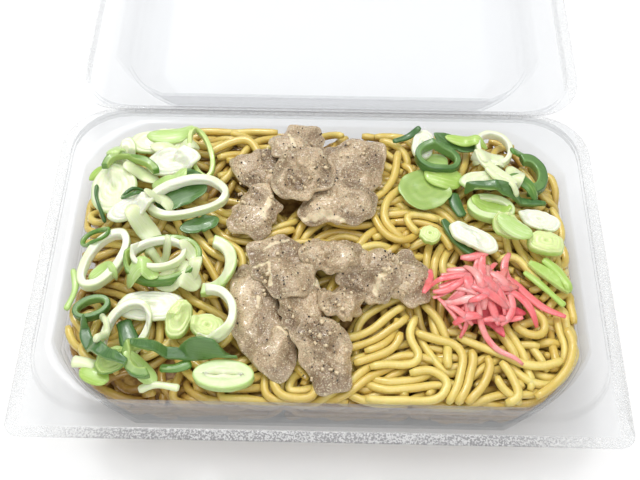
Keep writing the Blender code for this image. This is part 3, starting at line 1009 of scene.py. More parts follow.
class Basin:
    """The room that the noodles fill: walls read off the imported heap, floor and uneven top.

    CELL is the grid's step and MARGIN how far it runs past the heap. The walls are read in SPOKES
    directions at the heights LOW and HIGH.
    """

    CELL = 2.0
    MARGIN = 24.0
    SPOKES = 140
    LOW, HIGH = 3.0, 23.0

    def __init__(self, node: str = "noodles") -> None:
        """Reads the walls at two heights and the top on a grid.

        Args:
            node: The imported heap.
        """
        self.low, self.high = box_mm(node)
        self.middle = (self.low + self.high) / 2
        self.relief = Relief([node])
        self.nx = int((self.high[0] - self.low[0] + 2 * self.MARGIN) / self.CELL)
        self.ny = int((self.high[1] - self.low[1] + 2 * self.MARGIN) / self.CELL)
        self.x0, self.y0 = self.low[0] - self.MARGIN, self.low[1] - self.MARGIN
        xs = self.x0 + np.arange(self.nx) * self.CELL
        ys = self.y0 + np.arange(self.ny) * self.CELL
        self.grid_x, self.grid_y = np.meshgrid(xs, ys, indexing="ij")
        self.walls = [self._wall(height) for height in (self.LOW, self.HIGH)]
        self.tops = np.array([[self.relief.top(x, y) for y in ys] for x in xs])

    def _wall(self, height: float) -> Array:
        """Signed distance to the wall on the grid, negative inside.

        Args:
            height: The level it is read at.

        Returns:
            The distances.
        """
        start = np.array((self.middle[0], self.middle[1], height))
        angles = np.arange(self.SPOKES) * 2 * math.pi / self.SPOKES
        ways = np.stack((np.cos(angles), np.sin(angles), np.zeros_like(angles)), axis=1)
        reach = np.array([self.relief.side(start, way) for way in ways])
        corners = start[:2] + ways[:, :2] * reach[:, None]
        ends = np.roll(corners, -1, axis=0)
        cells = np.stack((self.grid_x.ravel(), self.grid_y.ravel()), axis=1)
        along = ends - corners
        gap = cells[:, None, :] - corners[None]
        share = np.clip((gap * along).sum(-1) / (along ** 2).sum(-1), 0, 1)
        distance = np.linalg.norm(gap - share[..., None] * along, axis=-1).min(1)
        out = cells - start[:2]
        turn = np.arctan2(out[:, 1], out[:, 0]) % (2 * math.pi)
        edge = np.interp(turn, np.append(angles, 2 * math.pi), np.append(reach, reach[0]))
        inside = np.linalg.norm(out, axis=1) < edge
        return np.where(inside, -distance, distance).reshape(self.nx, self.ny)

    def _read(self, grid: Array, points: Array) -> Array:
        """A grid's value at places, blended between its cells.

        Args:
            grid: A value for each cell.
            points: The places.

        Returns:
            Its value at each place.
        """
        u = np.clip((points[:, 0] - self.x0) / self.CELL, 0, self.nx - 1.001)
        v = np.clip((points[:, 1] - self.y0) / self.CELL, 0, self.ny - 1.001)
        i, j = u.astype(int), v.astype(int)
        u, v = u - i, v - j
        return ((1 - u) * (1 - v) * grid[i, j] + u * (1 - v) * grid[i + 1, j]
                + (1 - u) * v * grid[i, j + 1] + u * v * grid[i + 1, j + 1])

    def top(self, points: Array) -> Array:
        """The heap's top above places."""
        return self._read(self.tops, points)

    def wall(self, points: Array) -> Array:
        """Signed distance to the wall of places in three dimensions.

        Args:
            points: The places.

        Returns:
            The distance of each one, negative inside.
        """
        share = np.clip((points[:, 2] - self.LOW) / (self.HIGH - self.LOW), -0.2, 1.0)
        low, high = (self._read(grid, points) for grid in self.walls)
        return low + (high - low) * share

    def wall_slope(self, points: Array) -> Array:
        """The direction straight out to the wall.

        Args:
            points: The places.

        Returns:
            The direction at each one.
        """
        step = np.array(((0.7, 0, 0), (0, 0.7, 0)))
        slope = np.stack([self.wall(points + move) - self.wall(points - move) for move in step], axis=1)
        return slope / (np.linalg.norm(slope, axis=1, keepdims=True) + 1e-6)


@dataclass
class NoodleHeap:
    """Long round noodles, laid in loops and pushed apart until they only touch.

    Attributes:
        width: A noodle's thickness.
        spacing: Distance from point to point along one.
        top_length: Length of noodle laid in the shown layer.
        top_depth: How deep that layer is.
        wall_length: Length laid against the walls.
        floor_length: Length laid on the floor.
        rounds: Steps of pushing apart.
        below: How far under the top the noodles without a chosen place stay.
        shown: Noodles that lie on top, as plan places from the tray's middle.
        rng: Its own random numbers.

    LEVEL is the height at which a wandering noodle looks for the wall, WARY how far from it one
    starts to turn, and SHARPEST its sharpest turn in radians for each millimetre. WALL_STEP and
    FLOOR_STEP are the distances from point to point of the hidden layers.
    """

    LEVEL = 20.0
    WARY = 7.0
    SHARPEST = 0.22
    WALL_STEP = 2.6
    FLOOR_STEP = 3.0

    width: float = 3.0
    spacing: float = 1.9
    top_length: float = 17500.0
    top_depth: float = 9.0
    wall_length: float = 5200.0
    floor_length: float = 4600.0
    rounds: int = 90
    below: float = 1.7
    shown: Sequence[Sequence[tuple[float, float]]] = ()
    rng: np.random.Generator = field(default_factory=lambda: np.random.default_rng(SEED))

    def build(self) -> None:
        """Lays, settles and dresses the noodles and their core."""
        self.basin = Basin()
        lines = [self._on_top(even(self._smooth(line), self.spacing)) for line in self.shown]
        heavy = len(lines)
        lines += self._top_layer()
        split = len(lines)
        lines += self._wall_layer() + self._floor_layer()
        lines = self._settle(lines, heavy)
        finish = NoodleFinish().material()
        self._piece("noodle_top", lines[:split], 8, finish)
        self._piece("noodle_sides", lines[split:], 6, finish)
        # The noodle core's dark browns are painted shade in the gaps between noodles.
        core = CoreFinish("noodle_core", (0.52, 0.32, 0.09), (0.22, 0.10, 0.02))
        add_core("noodles", (0.955, 0.93, 0.62), 2.2, 1, core, "noodle")

    @staticmethod
    def _smooth(line: Sequence[tuple[float, float]]) -> Array:
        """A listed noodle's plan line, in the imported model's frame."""
        return through([in_row(*place) for place in line], 2.0)

    def _on_top(self, plan: Array, depth: float = 0.0) -> Array:
        """Lifts a plan line to the heap's top, less a depth.

        Args:
            plan: The line's plan places.
            depth: How far below the top it lies.

        Returns:
            Its places.
        """
        points = np.column_stack((plan, np.zeros(len(plan))))
        points[:, 2] = self.basin.top(points) - self.width / 2 - depth
        return points

    def _wander(self, start: Array, heading: float, length: float, bend: float) -> Array:
        """A plan line that turns at random and steers clear of the wall.

        Args:
            start: Where it begins.
            heading: Its first direction.
            length: How long it is.
            bend: Its usual turn in radians for each millimetre.

        Returns:
            Its points.
        """
        steps = int(length / self.spacing)
        line = np.empty((steps, 2))
        place = np.array((start[0], start[1], self.LEVEL))
        turn = self.rng.normal() * bend
        memory = math.exp(-self.spacing / 20.0)
        kicks = self.rng.normal(size=steps) * bend * math.sqrt(1 - memory ** 2)
        for step in range(steps):
            line[step] = place[:2]
            turn = turn * memory + kicks[step]
            gap = float(self.basin.wall(place[None])[0])
            if gap > 1 and step > 12:
                return line[:step]
            if gap > -self.WARY:
                out = self.basin.wall_slope(place[None])[0]
                ahead = np.array((math.cos(heading), math.sin(heading)))
                cross = ahead[0] * -out[1] + ahead[1] * out[0]
                turn += 0.05 * np.sign(cross) * min(1.0, (gap + self.WARY) / 5)
                turn = float(np.clip(turn, -self.SHARPEST, self.SHARPEST))
            heading += turn * self.spacing
            place[:2] += self.spacing * np.array((math.cos(heading), math.sin(heading)))
        return line

    def _start(self) -> Array:
        """A random place inside the walls."""
        while True:
            span = self.basin.high[:2] - self.basin.low[:2]
            place = self.basin.low[:2] + self.rng.random(2) * span
            if self.basin.wall(np.array((*place, self.LEVEL))[None])[0] < -4:
                return place

    def _top_layer(self) -> list[Array]:
        """Loose bundles of noodles side by side, at all depths of the shown layer."""
        lines, laid = [], 0.0
        while laid < self.top_length:
            length = self.rng.uniform(90, 240)
            bend = self.rng.choice((0.022, 0.04, 0.065))
            mother = self._wander(self._start(), self.rng.uniform(0, 2 * math.pi), length, bend)
            depth = self.rng.uniform(0, self.top_depth)
            ahead = np.gradient(mother, axis=0)
            aside = np.column_stack((-ahead[:, 1], ahead[:, 0])) / self.spacing
            for number in range(self.rng.integers(1, 4)):
                sway = drift(self.rng, len(mother), 6) * 1.6
                plan = mother + aside * (number * self.width * 1.08 + sway[:, None])
                cut = self.rng.integers(0, 6, 2)
                plan = even(plan[cut[0]:len(plan) - cut[1]], self.spacing)
                waves = drift(self.rng, len(plan), 7) * 1.5
                line = self._on_top(plan, depth)
                line[:, 2] += waves
                lines.append(line)
                laid += len(line) * self.spacing
        return lines

    def _wall_layer(self) -> list[Array]:
        """Noodles that wander up, down and along the walls."""
        lines, laid = [], 0.0
        while laid < self.wall_length:
            count = int(self.rng.uniform(60, 150) / self.WALL_STEP)
            angle = self.rng.uniform(0, 2 * math.pi)
            height = self.rng.uniform(3, 22)
            heading = self.rng.choice((0.0, math.pi)) + self.rng.normal() * 0.5
            turn = 0.0
            line = np.empty((count, 3))
            for step in range(count):
                way = np.array((math.cos(angle), math.sin(angle)))
                reach = self._reach(way, height)
                line[step] = (*(self.basin.middle[:2] + way * (reach - self.width / 2)), height)
                turn = turn * 0.9 + self.rng.normal() * 0.028
                heading += turn * self.WALL_STEP
                height += self.WALL_STEP * math.sin(heading)
                if not 2 < height < 23:
                    height = min(max(height, 2.0), 23.0)
                    heading = -heading * 0.6
                angle += self.WALL_STEP * math.cos(heading) / reach
            lines.append(even(line, self.WALL_STEP))
            laid += count * self.WALL_STEP
        return lines

    def _reach(self, way: Array, height: float) -> float:
        """How far the wall is from the middle, by halving.

        Args:
            way: The direction.
            height: The level.

        Returns:
            The distance.
        """
        near, far = 20.0, 110.0
        for _ in range(9):
            half = (near + far) / 2
            place = np.array((*(self.basin.middle[:2] + way * half), height))
            if self.basin.wall(place[None])[0] < 0:
                near = half
            else:
                far = half
        return near

    def _floor_layer(self) -> list[Array]:
        """Noodles that lie on the floor, seen from below and low at the sides."""
        lines, laid = [], 0.0
        while laid < self.floor_length:
            plan = even(self._wander(self._start(), self.rng.uniform(0, 2 * math.pi),
                                     self.rng.uniform(80, 200), 0.05), self.FLOOR_STEP)
            height = np.full(len(plan), self.basin.low[2] + self.width / 2)
            lines.append(np.column_stack((plan, height)))
            laid += len(plan) * self.FLOOR_STEP
        return lines

    def _settle(self, lines: list[Array], heavy: int) -> list[Array]:
        """Pushes the noodles apart, keeps their lengths and holds them in the basin.

        Args:
            lines: Centre lines.
            heavy: How many of the first ones hardly give way.

        Returns:
            The settled centre lines.
        """
        counts = [len(line) for line in lines]
        ends = np.cumsum(counts)
        owner = np.repeat(np.arange(len(lines)), counts)
        order = np.arange(ends[-1])
        points = np.concatenate(lines)
        linked = owner[1:] == owner[:-1]
        rest = np.linalg.norm(points[1:] - points[:-1], axis=1)
        yielding = np.where(owner < heavy, 0.15, 1.0)
        sunk = np.where(owner < heavy, 0.0, self.below)
        inner = np.flatnonzero(linked[1:] & linked[:-1]) + 1
        rounds = self.rounds
        for step in range(rounds):
            if step % 6 == 0:
                one, two = self._neighbours(points, self.width * 1.5)
                apart = (owner[one] != owner[two]) | (np.abs(order[one] - order[two]) > 4)
                one, two = one[apart], two[apart]
                share = yielding[one] / (yielding[one] + yielding[two])
            gap = points[two] - points[one]
            distance = np.linalg.norm(gap, axis=1) + 1e-6
            push = np.clip(self.width * 0.97 - distance, 0, None) * 0.7 / distance
            gap *= push[:, None]
            for axis in range(3):
                points[:, axis] -= np.bincount(one, gap[:, axis] * share, len(points)) * 0.6
                points[:, axis] += np.bincount(two, gap[:, axis] * (1 - share), len(points)) * 0.6
            for _ in range(2):
                self._keep_lengths(points, rest, linked)
            middle = (points[inner - 1] + points[inner + 1]) / 2
            points[inner] += (middle - points[inner]) * 0.12 * yielding[inner, None]
            self._hold(points, sunk)
        for _ in range(4):
            middle = (points[inner - 1] + points[inner + 1]) / 2
            points[inner] += (middle - points[inner]) * 0.5
        self._hold(points, sunk)
        return np.split(points, ends[:-1])

    @staticmethod
    def _keep_lengths(points: Array, rest: Array, linked: Array) -> None:
        """Pulls linked points back to their distance, even and odd links in turn.

        Args:
            points: All points, which it moves.
            rest: The distance from each point to the next one.
            linked: Whether they are on one noodle.
        """
        for first in (0, 1):
            one = np.flatnonzero(linked[first::2]) * 2 + first
            gap = points[one + 1] - points[one]
            distance = np.linalg.norm(gap, axis=1) + 1e-6
            shift = gap * ((distance - rest[one]) / distance * 0.5)[:, None]
            points[one] += shift
            points[one + 1] -= shift

    def _hold(self, points: Array, sunk: Array) -> None:
        """Keeps points off the floor, inside the walls and under the top.

        Args:
            points: All points, which it moves.
            sunk: How far under the top each one stays.
        """
        radius = self.width / 2
        floor = self.basin.low[2] + radius - 0.4
        lid = self.basin.top(points) - radius + 0.5 - sunk
        points[:, 2] = np.clip(points[:, 2], floor, np.maximum(lid, floor))
        over = self.basin.wall(points) + radius - 0.55
        out = over > 0
        if out.any():
            points[out, :2] -= self.basin.wall_slope(points[out]) * over[out, None]

    @staticmethod
    def _neighbours(points: Array, reach: float) -> tuple[Array, Array]:
        """Pairs of points closer than a reach, found by sorting them into cells.

        Args:
            points: All points.
            reach: The cell size and the largest distance.

        Returns:
            The first and the second point of each pair.
        """
        cells = np.floor((points - points.min(0)) / reach).astype(np.int64) + 1
        size = cells.max(0) + 2
        keys = (cells[:, 0] * size[1] + cells[:, 1]) * size[2] + cells[:, 2]
        order = np.argsort(keys, kind="stable")
        ordered = keys[order]
        firsts, seconds = [], []
        for dx in (-1, 0, 1):
            for dy in (-1, 0, 1):
                for dz in (-1, 0, 1):
                    shift = (dx * size[1] + dy) * size[2] + dz
                    if shift < 0:
                        continue
                    start = np.searchsorted(ordered, ordered + shift, "left")
                    stop = np.searchsorted(ordered, ordered + shift, "right")
                    count = stop - start
                    one = np.repeat(np.arange(len(order)), count)
                    skip = np.repeat(np.cumsum(count) - count, count)
                    two = np.repeat(start, count) + np.arange(count.sum()) - skip
                    if shift == 0:
                        later = two > one
                        one, two = one[later], two[later]
                    firsts.append(order[one])
                    seconds.append(order[two])
        one, two = np.concatenate(firsts), np.concatenate(seconds)
        near = ((points[one] - points[two]) ** 2).sum(1) < reach ** 2
        return one[near], two[near]

    def _piece(self, name: str, lines: Sequence[Array], sides: int, finish: bpy.types.Material) -> None:
        """Turns settled lines into one mesh with its depth kept on it.

        Args:
            name: The piece's name.
            lines: Centre lines.
            sides: Faces round each noodle.
            finish: The noodle's material.
        """
        strands = []
        for line in lines:
            swell = drift(self.rng, len(line), 9)
            radius = self.width / 2 * (self.rng.uniform(0.92, 1.05) + 0.035 * swell)
            radius[[0, -1]] *= 0.72
            strands.append(Strand(line, radius, self.rng.uniform(0.88, 1.0), self.rng.random()))
        item = strand_mesh(name, strands, sides)
        points = points_of(item)
        # Depth below the heap's top, which the finish darkens, partly as sauce and partly as painted shade.
        depth = (self.basin.top(points) - points[:, 2] - 1.5) / 7.0
        keep(item, "depth", np.clip(depth, 0, 1))
        place_piece(item, finish, "noodle", *(("noodles",) if name == "noodle_top" else ()))


# ---------------------------------------------------------------- flat toppings


@dataclass
class Patch:
    """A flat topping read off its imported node: outline, top and bottom, rebuilt finely.

    Attributes:
        node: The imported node.
        spokes: Steps round it.
        rings: Steps from its middle to its rim.
        ragged: How far its outline strays, in millimetres.
        shaping: Adds to top and bottom, from (x, y, rim share, angle).
        roundness: How late the rim thins; high is blunt.
        spread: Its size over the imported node's.
        evened: Rounds of smoothing of its outline.
        droop: How far its rim hangs down.

    SURE is the share of its size out to which heights are read off the node.
    """

    SURE = 0.88

    node: str
    spokes: int = 72
    rings: int = 16
    ragged: float = 0.0
    shaping: Callable[[float, float, float, float], tuple[float, float]] | None = None
    roundness: float = 6.0
    spread: float = 0.99
    evened: int = 3
    droop: float = 0.0

    def build(self) -> bpy.types.Object:
        """Rebuilds the topping and keeps rim and grain on it."""
        low, high = box_mm(self.node)
        middle = (low + high)[:2] / 2
        relief = Relief([self.node])
        angles = np.arange(self.spokes) * 2 * math.pi / self.spokes
        edge = self._outline(middle, angles)
        seed = sum(map(ord, self.node)) * 0.37
        points: list[tuple[float, float, float]] = []
        rims: list[float] = []
        for side in (1, -1):
            for ring in range(self.rings + 1 if side == 1 else self.rings):
                share = math.sin(ring / self.rings * math.pi / 2)
                for angle, reach in zip(angles, edge):
                    u, v = 2.2 * math.cos(angle), 2.2 * math.sin(angle)
                    stray = self.ragged * share * soft_noise(u, v, seed)
                    radius = max(share * reach * self.spread + stray, 0.0)
                    sure = reach * self.SURE
                    points.append(self._corner(relief, middle, radius, sure, share, angle, side))
                    rims.append(share)
                    if ring == 0:
                        break
        item = new_object(self.node, points, self._faces())
        spots = points_of(item)
        keep(item, "rim", np.array(rims))
        keep(item, "grain", self._grain(spots, middle))
        return item

    def _corner(self, relief: Relief, middle: Array, radius: float, sure: float, share: float,
                angle: float, side: int) -> tuple[float, float, float]:
        """One vertex, thinned towards the rim.

        Args:
            relief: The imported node's faces.
            middle: The topping's middle.
            radius: How far the vertex is from it.
            sure: The farthest that heights are read.
            share: Its place from the middle to the rim.
            angle: Its direction.
            side: 1 on top, -1 below.

        Returns:
            Its place.
        """
        way = np.array((math.cos(angle), math.sin(angle)))
        x, y = middle + way * radius
        read = middle + way * min(radius, sure)
        top, bottom = relief.top(*read), relief.bottom(*read)
        if self.shaping:
            raised, lowered = self.shaping(x, y, share, angle)
            top, bottom = top + raised, bottom + lowered
        half = (top - bottom) / 2 * math.sqrt(max(0.0, 1 - share ** self.roundness))
        droop = self.droop * share ** 4
        return x, y, (top + bottom) / 2 + side * half - droop

    def _outline(self, middle: Array, angles: Array) -> Array:
        """How far the node reaches from its middle.

        Args:
            middle: Its plan middle.
            angles: The directions.

        Returns:
            The distance in each direction.
        """
        corners = points_of(frame["nodes"][self.node])[:, :2] - middle
        corners = corners[convex_hull_2d(corners.tolist())]
        sides = np.roll(corners, -1, axis=0) - corners
        ways = np.column_stack((np.cos(angles), np.sin(angles)))
        against = ways[:, :1] * sides[:, 1] - ways[:, 1:] * sides[:, 0]
        against = np.where(against == 0, 1e-9, against)
        reach = (corners[:, 0] * sides[:, 1] - corners[:, 1] * sides[:, 0]) / against
        edge = np.where(reach > 0, reach, np.inf).min(1)
        for _ in range(self.evened):
            edge = (np.roll(edge, 1) + 2 * edge + np.roll(edge, -1)) / 4
        return edge

    def _faces(self) -> list[tuple[int, ...]]:
        """Fans at both middles and rings of four-sided faces between them."""
        count, faces = self.spokes, []
        lower = 1 + self.rings * count
        for spoke in range(count):
            after = (spoke + 1) % count
            faces.append((0, 1 + spoke, 1 + after))
            for ring in range(self.rings - 1):
                one = 1 + ring * count
                faces.append((one + spoke, one + count + spoke, one + count + after, one + after))
            faces.append((lower, lower + 1 + after, lower + 1 + spoke))
            for ring in range(self.rings - 1):
                one = lower + 1 + ring * count
                two = one + count if ring < self.rings - 2 else 1 + (self.rings - 1) * count
                faces.append((one + spoke, one + after, two + after, two + spoke))
        return faces

    @staticmethod
    def _grain(spots: Array, middle: Array) -> Array:
        """Distance along and across the topping's long direction.

        Args:
            spots: Its vertices.
            middle: Its plan middle.

        Returns:
            Along, across and up for each vertex.
        """
        flat = spots[:, :2] - middle
        ways = np.linalg.eigh(np.cov(flat.T))[1]
        return np.column_stack((flat @ ways[:, 1], flat @ ways[:, 0], spots[:, 2]))


@dataclass(frozen=True)
class Streak:
    """A raised strip of fat or garlic on the meat, from one plan place to another."""

    start: tuple[float, float]
    end: tuple[float, float]
    width: float

    def nearness(self, x: float, y: float) -> float:
        """How near a plan place is, from 0 well away from the strip to 1 on it.

        Args:
            x, y: The plan place.

        Returns:
            Its nearness.
        """
        start, end = Vector(in_row(*self.start)), Vector(in_row(*self.end))
        place = Vector((x, y))
        along = end - start
        share = min(1.0, max(0.0, (place - start).dot(along) / max(along.length_squared, 1e-6)))
        wander = 0.5 * soft_noise(x / 1.7, y / 1.7, 7.0) * self.width
        return max(0.0, 1 - ((place - start - along * share).length + wander) / self.width)


@dataclass(frozen=True)
class Curl:
    """A rolled lip of meat: a raised ring with a dip inside."""

    middle: tuple[float, float]
    size: tuple[float, float]
    height: float

    def rise(self, x: float, y: float) -> float:
        """How far it lifts the meat at a place.

        Args:
            x, y: The plan place.

        Returns:
            The rise in millimetres.
        """
        cx, cy = in_row(*self.middle)
        u, v = (x - cx) / self.size[0] * 2, (y - cy) / self.size[1] * 2
        far = math.sqrt(u * u + v * v) + 0.12 * soft_noise(x / 3, y / 3, 3.0)
        lip = math.exp(-((far - 0.82) / 0.2) ** 2)
        dip = math.exp(-(far / 0.55) ** 2)
        return self.height * (lip - 0.45 * dip)


@dataclass
class PorkMound:
    """Thin pork slices with wrinkles, folds, curled lips and cream fat.

    Attributes:
        streaks: Fat and garlic strips.
        curls: Rolled lips of meat.
        fold: Width of the broad folds.
        wrinkle: Width of the fine wrinkles.
        overlap: Half the step where one fold lies over another.
    """

    streaks: Sequence[Streak] = ()
    curls: Sequence[Curl] = ()
    fold: float = 8.5
    wrinkle: float = 2.6
    overlap: float = 0.42

    def build(self) -> None:
        """Builds every slice."""
        finish = PorkFinish().material()
        for node in FOOD:
            if not node.startswith("pork_"):
                continue
            seed = sum(map(ord, node)) * 1.7
            item = Patch(node, spokes=120, rings=34, ragged=2.6, roundness=9.0, spread=1.03, evened=6,
                         droop=0.9, shaping=partial(self._shape, seed)).build()
            self._keep_clear(item, node)
            spots = points_of(item)
            fat = [max((streak.nearness(x, y) for streak in self.streaks), default=0.0)
                   for x, y in spots[:, :2]]
            keep(item, "fat", np.array(fat))
            # The relief's height, kept as fold; the finish darkens its low places as painted shade.
            lift = [self._shape(seed, x, y, 0.5, 0.0)[0] for x, y in spots[:, :2]]
            keep(item, "fold", np.clip(np.array(lift) / 1.9 + 0.5, 0, 1))
            item.name = f"{node}_slice"
            place_piece(item, finish, "pork", node)

    @staticmethod
    def _keep_clear(item: bpy.types.Object, node: str) -> None:
        """Eases the slice below its packed top and, at the peak, off the back wall of the shut lid.

        Args:
            item: The slice.
            node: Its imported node.
        """
        high = box_mm(node)[1]
        spots = points_of(item)
        spots[:, 2] = eased_below(spots[:, 2], high[2])
        if node == "pork_peak":
            spots[:, 1] = eased_below(spots[:, 1], high[1] - 1.0)
        move_points(item, spots)

    def _shape(self, seed: float, x: float, y: float, share: float, angle: float) -> tuple[float, float]:
        """Folds and wrinkles at a place.

        Args:
            seed: The slice's own number.
            x, y: The plan place.
            share: From the slice's middle to its rim.
            angle: Its direction.

        Returns:
            What is added to top and bottom.
        """
        warp = soft_noise(x / 9, y / 9, seed) * 3
        ridge = 1 - abs(soft_noise((x + warp) / self.fold, (y - warp) / self.fold * 0.8, seed)) * 2.2
        u, v = (x - y * 0.4 + warp) / self.wrinkle, (y + x * 0.3) / self.wrinkle
        wrinkle = 1 - abs(soft_noise(u, v, seed)) * 2.4
        pits = soft_noise(x / 1.1, y / 1.1, seed + 5)
        sheet = soft_noise(x / 11 + warp / 9, y / 11, seed + 9)
        overlap = math.tanh((sheet - 0.12) / 0.035) + math.tanh((sheet + 0.16) / 0.035)
        lip = soft_noise(1.6 * math.cos(angle), 1.6 * math.sin(angle), seed)
        edge = max(0.0, (share - 0.76) / 0.24) ** 2 * (0.3 + 1.4 * max(lip, -0.2))
        raised = 0.6 * ridge + 0.26 * wrinkle + 0.16 * pits + self.overlap * overlap - 0.3
        for curl in self.curls:
            raised += curl.rise(x, y)
        for streak in self.streaks:
            raised += 0.55 * min(1.0, streak.nearness(x, y) * 2)
        return raised + edge, min(raised, 0.6) * 0.5 + edge * 0.8


@dataclass
class ScallionCuts:
    """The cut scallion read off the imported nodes: rings, arcs, strips, slices and leaves.

    Attributes:
        crispness: How sharp the cut edges stay.
        thicker: Added to every side of a band.
        inward: Added to the inner wall of a thick ring.
        rng: Its own random numbers.
    """

    crispness: float = 0.62
    thicker: float = 0.22
    inward: dict[str, float] = field(default_factory=lambda: {"scallion_ring_08": 1.8})
    rng: np.random.Generator = field(default_factory=lambda: np.random.default_rng(SEED + 1))

    def build(self) -> None:
        """Builds every piece in its own way."""
        self.finishes = {tone.value.name: tone.value.material() for tone in Scallion}
        for node in FOOD:
            if node.startswith(("scallion_ring", "scallion_arc", "scallion_strip")):
                self._band(node)
            elif node.startswith("scallion_leaf"):
                self._flat(node, self._leaf_shape, 0.7, 8.0)
            elif node.startswith("scallion_slice"):
                self._flat(node, self._slice_shape, 0.5, 5.0)

    def _band(self, node: str) -> None:
        """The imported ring, arc or strip rounded and smoothed, with skin on its outer side.

        Args:
            node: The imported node.
        """
        item = copy_of_node(node, f"{node}_cut")
        with editing(item):
            bpy.ops.mesh.select_all(action="DESELECT")
            bpy.ops.mesh.select_mode(type="EDGE")
            bpy.ops.mesh.edges_select_sharp(sharpness=math.radians(50))
            bpy.ops.transform.edge_crease(value=self.crispness)
        modify(item, "SUBSURF", levels=3, render_levels=3)
        spots, normals = points_of(item), normals_of(item)
        low, high = box_mm(node)
        out = spots - (low + high) / 2
        out[:, 2] = 0
        out /= np.linalg.norm(out, axis=1, keepdims=True) + 1e-6
        facing = (normals * out).sum(1)
        skin = np.clip(0.5 + facing * 1.1, 0, 1)
        if node.startswith("scallion_strip"):
            skin = np.clip(0.35 + 0.65 * normals[:, 2], 0, 1)
        wave = np.array([soft_noise(x / 4, y / 4, z) for x, y, z in spots])
        inner = np.clip(-facing, 0, 1)[:, None]
        spots += normals * (wave[:, None] * 0.2 + self.thicker)
        spots += normals * inner * self.inward.get(node, 0.3)
        move_points(item, spots)
        turn = np.arctan2(out[:, 1], out[:, 0])
        length = float(np.linalg.norm((high - low)[:2])) / 2
        keep(item, "skin", skin)
        keep(item, "tone", np.full(len(spots), self.rng.random()))
        keep(item, "grain", np.column_stack((turn * length, spots[:, 2] * 2.0, facing * 1.5)))
        only(item)
        bpy.ops.object.shade_smooth()
        place_piece(item, self.finishes[SLOT_OF[node]], SLOT_OF[node], node)

    def _flat(self, node: str, shape: Callable, ragged: float, roundness: float) -> None:
        """A slice or a leaf.

        Args:
            node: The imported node.
            shape: Its relief.
            ragged: How far its outline strays.
            roundness: How blunt its rim is.
        """
        patch = Patch(node, spokes=72, rings=26, ragged=ragged, roundness=roundness, shaping=shape, evened=3)
        item = patch.build()
        item.name = f"{node}_cut"
        normals = normals_of(item)
        rim = np.empty(len(normals))
        item.data.attributes["rim"].data.foreach_get("value", rim)
        if node.startswith("scallion_leaf"):
            skin = np.full(len(rim), 0.75 if SLOT_OF[node] == "scallion_dark" else 0.25)
        else:
            skin = np.clip((rim - 0.90) / 0.08, 0, 1) * 0.8 + 0.25 * np.clip((0.16 - rim) / 0.1, 0, 1)
        tone = 0.5 + 0.5 * np.sin(rim * 2 * math.pi * 3.2)
        keep(item, "skin", skin)
        keep(item, "tone", tone)
        place_piece(item, self.finishes[SLOT_OF[node]], SLOT_OF[node], node)

    @staticmethod
    def _slice_shape(x: float, y: float, share: float, angle: float) -> tuple[float, float]:
        """Layer rings with grooves between them and a small hollow in the middle.

        Args:
            x, y: The plan place.
            share: From the slice's middle to its rim.
            angle: Its direction.

        Returns:
            What is added to top and bottom.
        """
        wander = 0.05 * soft_noise(1.5 * math.cos(angle), 1.5 * math.sin(angle), x * 0.01)
        groove = sum(math.exp(-((share + wander - place) / 0.028) ** 2) for place in (0.34, 0.60, 0.83))
        hollow = math.exp(-(share / 0.13) ** 2)
        swell = 0.12 * soft_noise(x / 2.2, y / 2.2, 1.0)
        return 0.15 + swell - 0.32 * groove - 0.9 * hollow, 0.0

    @staticmethod
    def _leaf_shape(x: float, y: float, share: float, angle: float) -> tuple[float, float]:
        """A thin leaf with lifted edges and soft waves.

        Args:
            x, y: The plan place.
            share: From the leaf's middle to its rim.
            angle: Its direction.

        Returns:
            What is added to top and bottom.
        """
        curl = 0.5 + soft_noise(1.4 * math.cos(angle), math.sin(angle), 4)
        lift = max(0.0, (share - 0.6) / 0.4) ** 2 * curl
        wave = 0.35 * soft_noise(x / 4.5, y / 4.5, 9.0)
        return wave + lift, wave + lift


@dataclass(frozen=True)
class LooseBand:
    """A small ring, arc or strip of scallion that lies on whatever is under it.

    Attributes:
        places: Plan places of its centre line from the tray's middle.
        width: Its wall or strip width.
        height: How tall its wall stands.
        lift: How far above what is under it, in millimetres.
        slice: Whether it is an oval slice as wide as width, in place of an even band.
    """

    places: Sequence[tuple[float, float]]
    width: float
    height: float
    lift: float = 0.3
    slice: bool = False


def oval(middle: tuple[float, float], size: tuple[float, float], turn: float) -> list[tuple[float, float]]:
    """Plan places round an oval.

    Args:
        middle: Its middle from the tray's middle.
        size: Its length and width.
        turn: How far it is turned, in degrees.

    Returns:
        The places in order.
    """
    cos, sin = math.cos(math.radians(turn)), math.sin(math.radians(turn))
    places = []
    for angle in np.radians(np.linspace(0, 360, 21)):
        x, y = size[0] / 2 * math.cos(angle), size[1] / 2 * math.sin(angle)
        places.append((middle[0] + x * cos - y * sin, middle[1] + x * sin + y * cos))
    return places


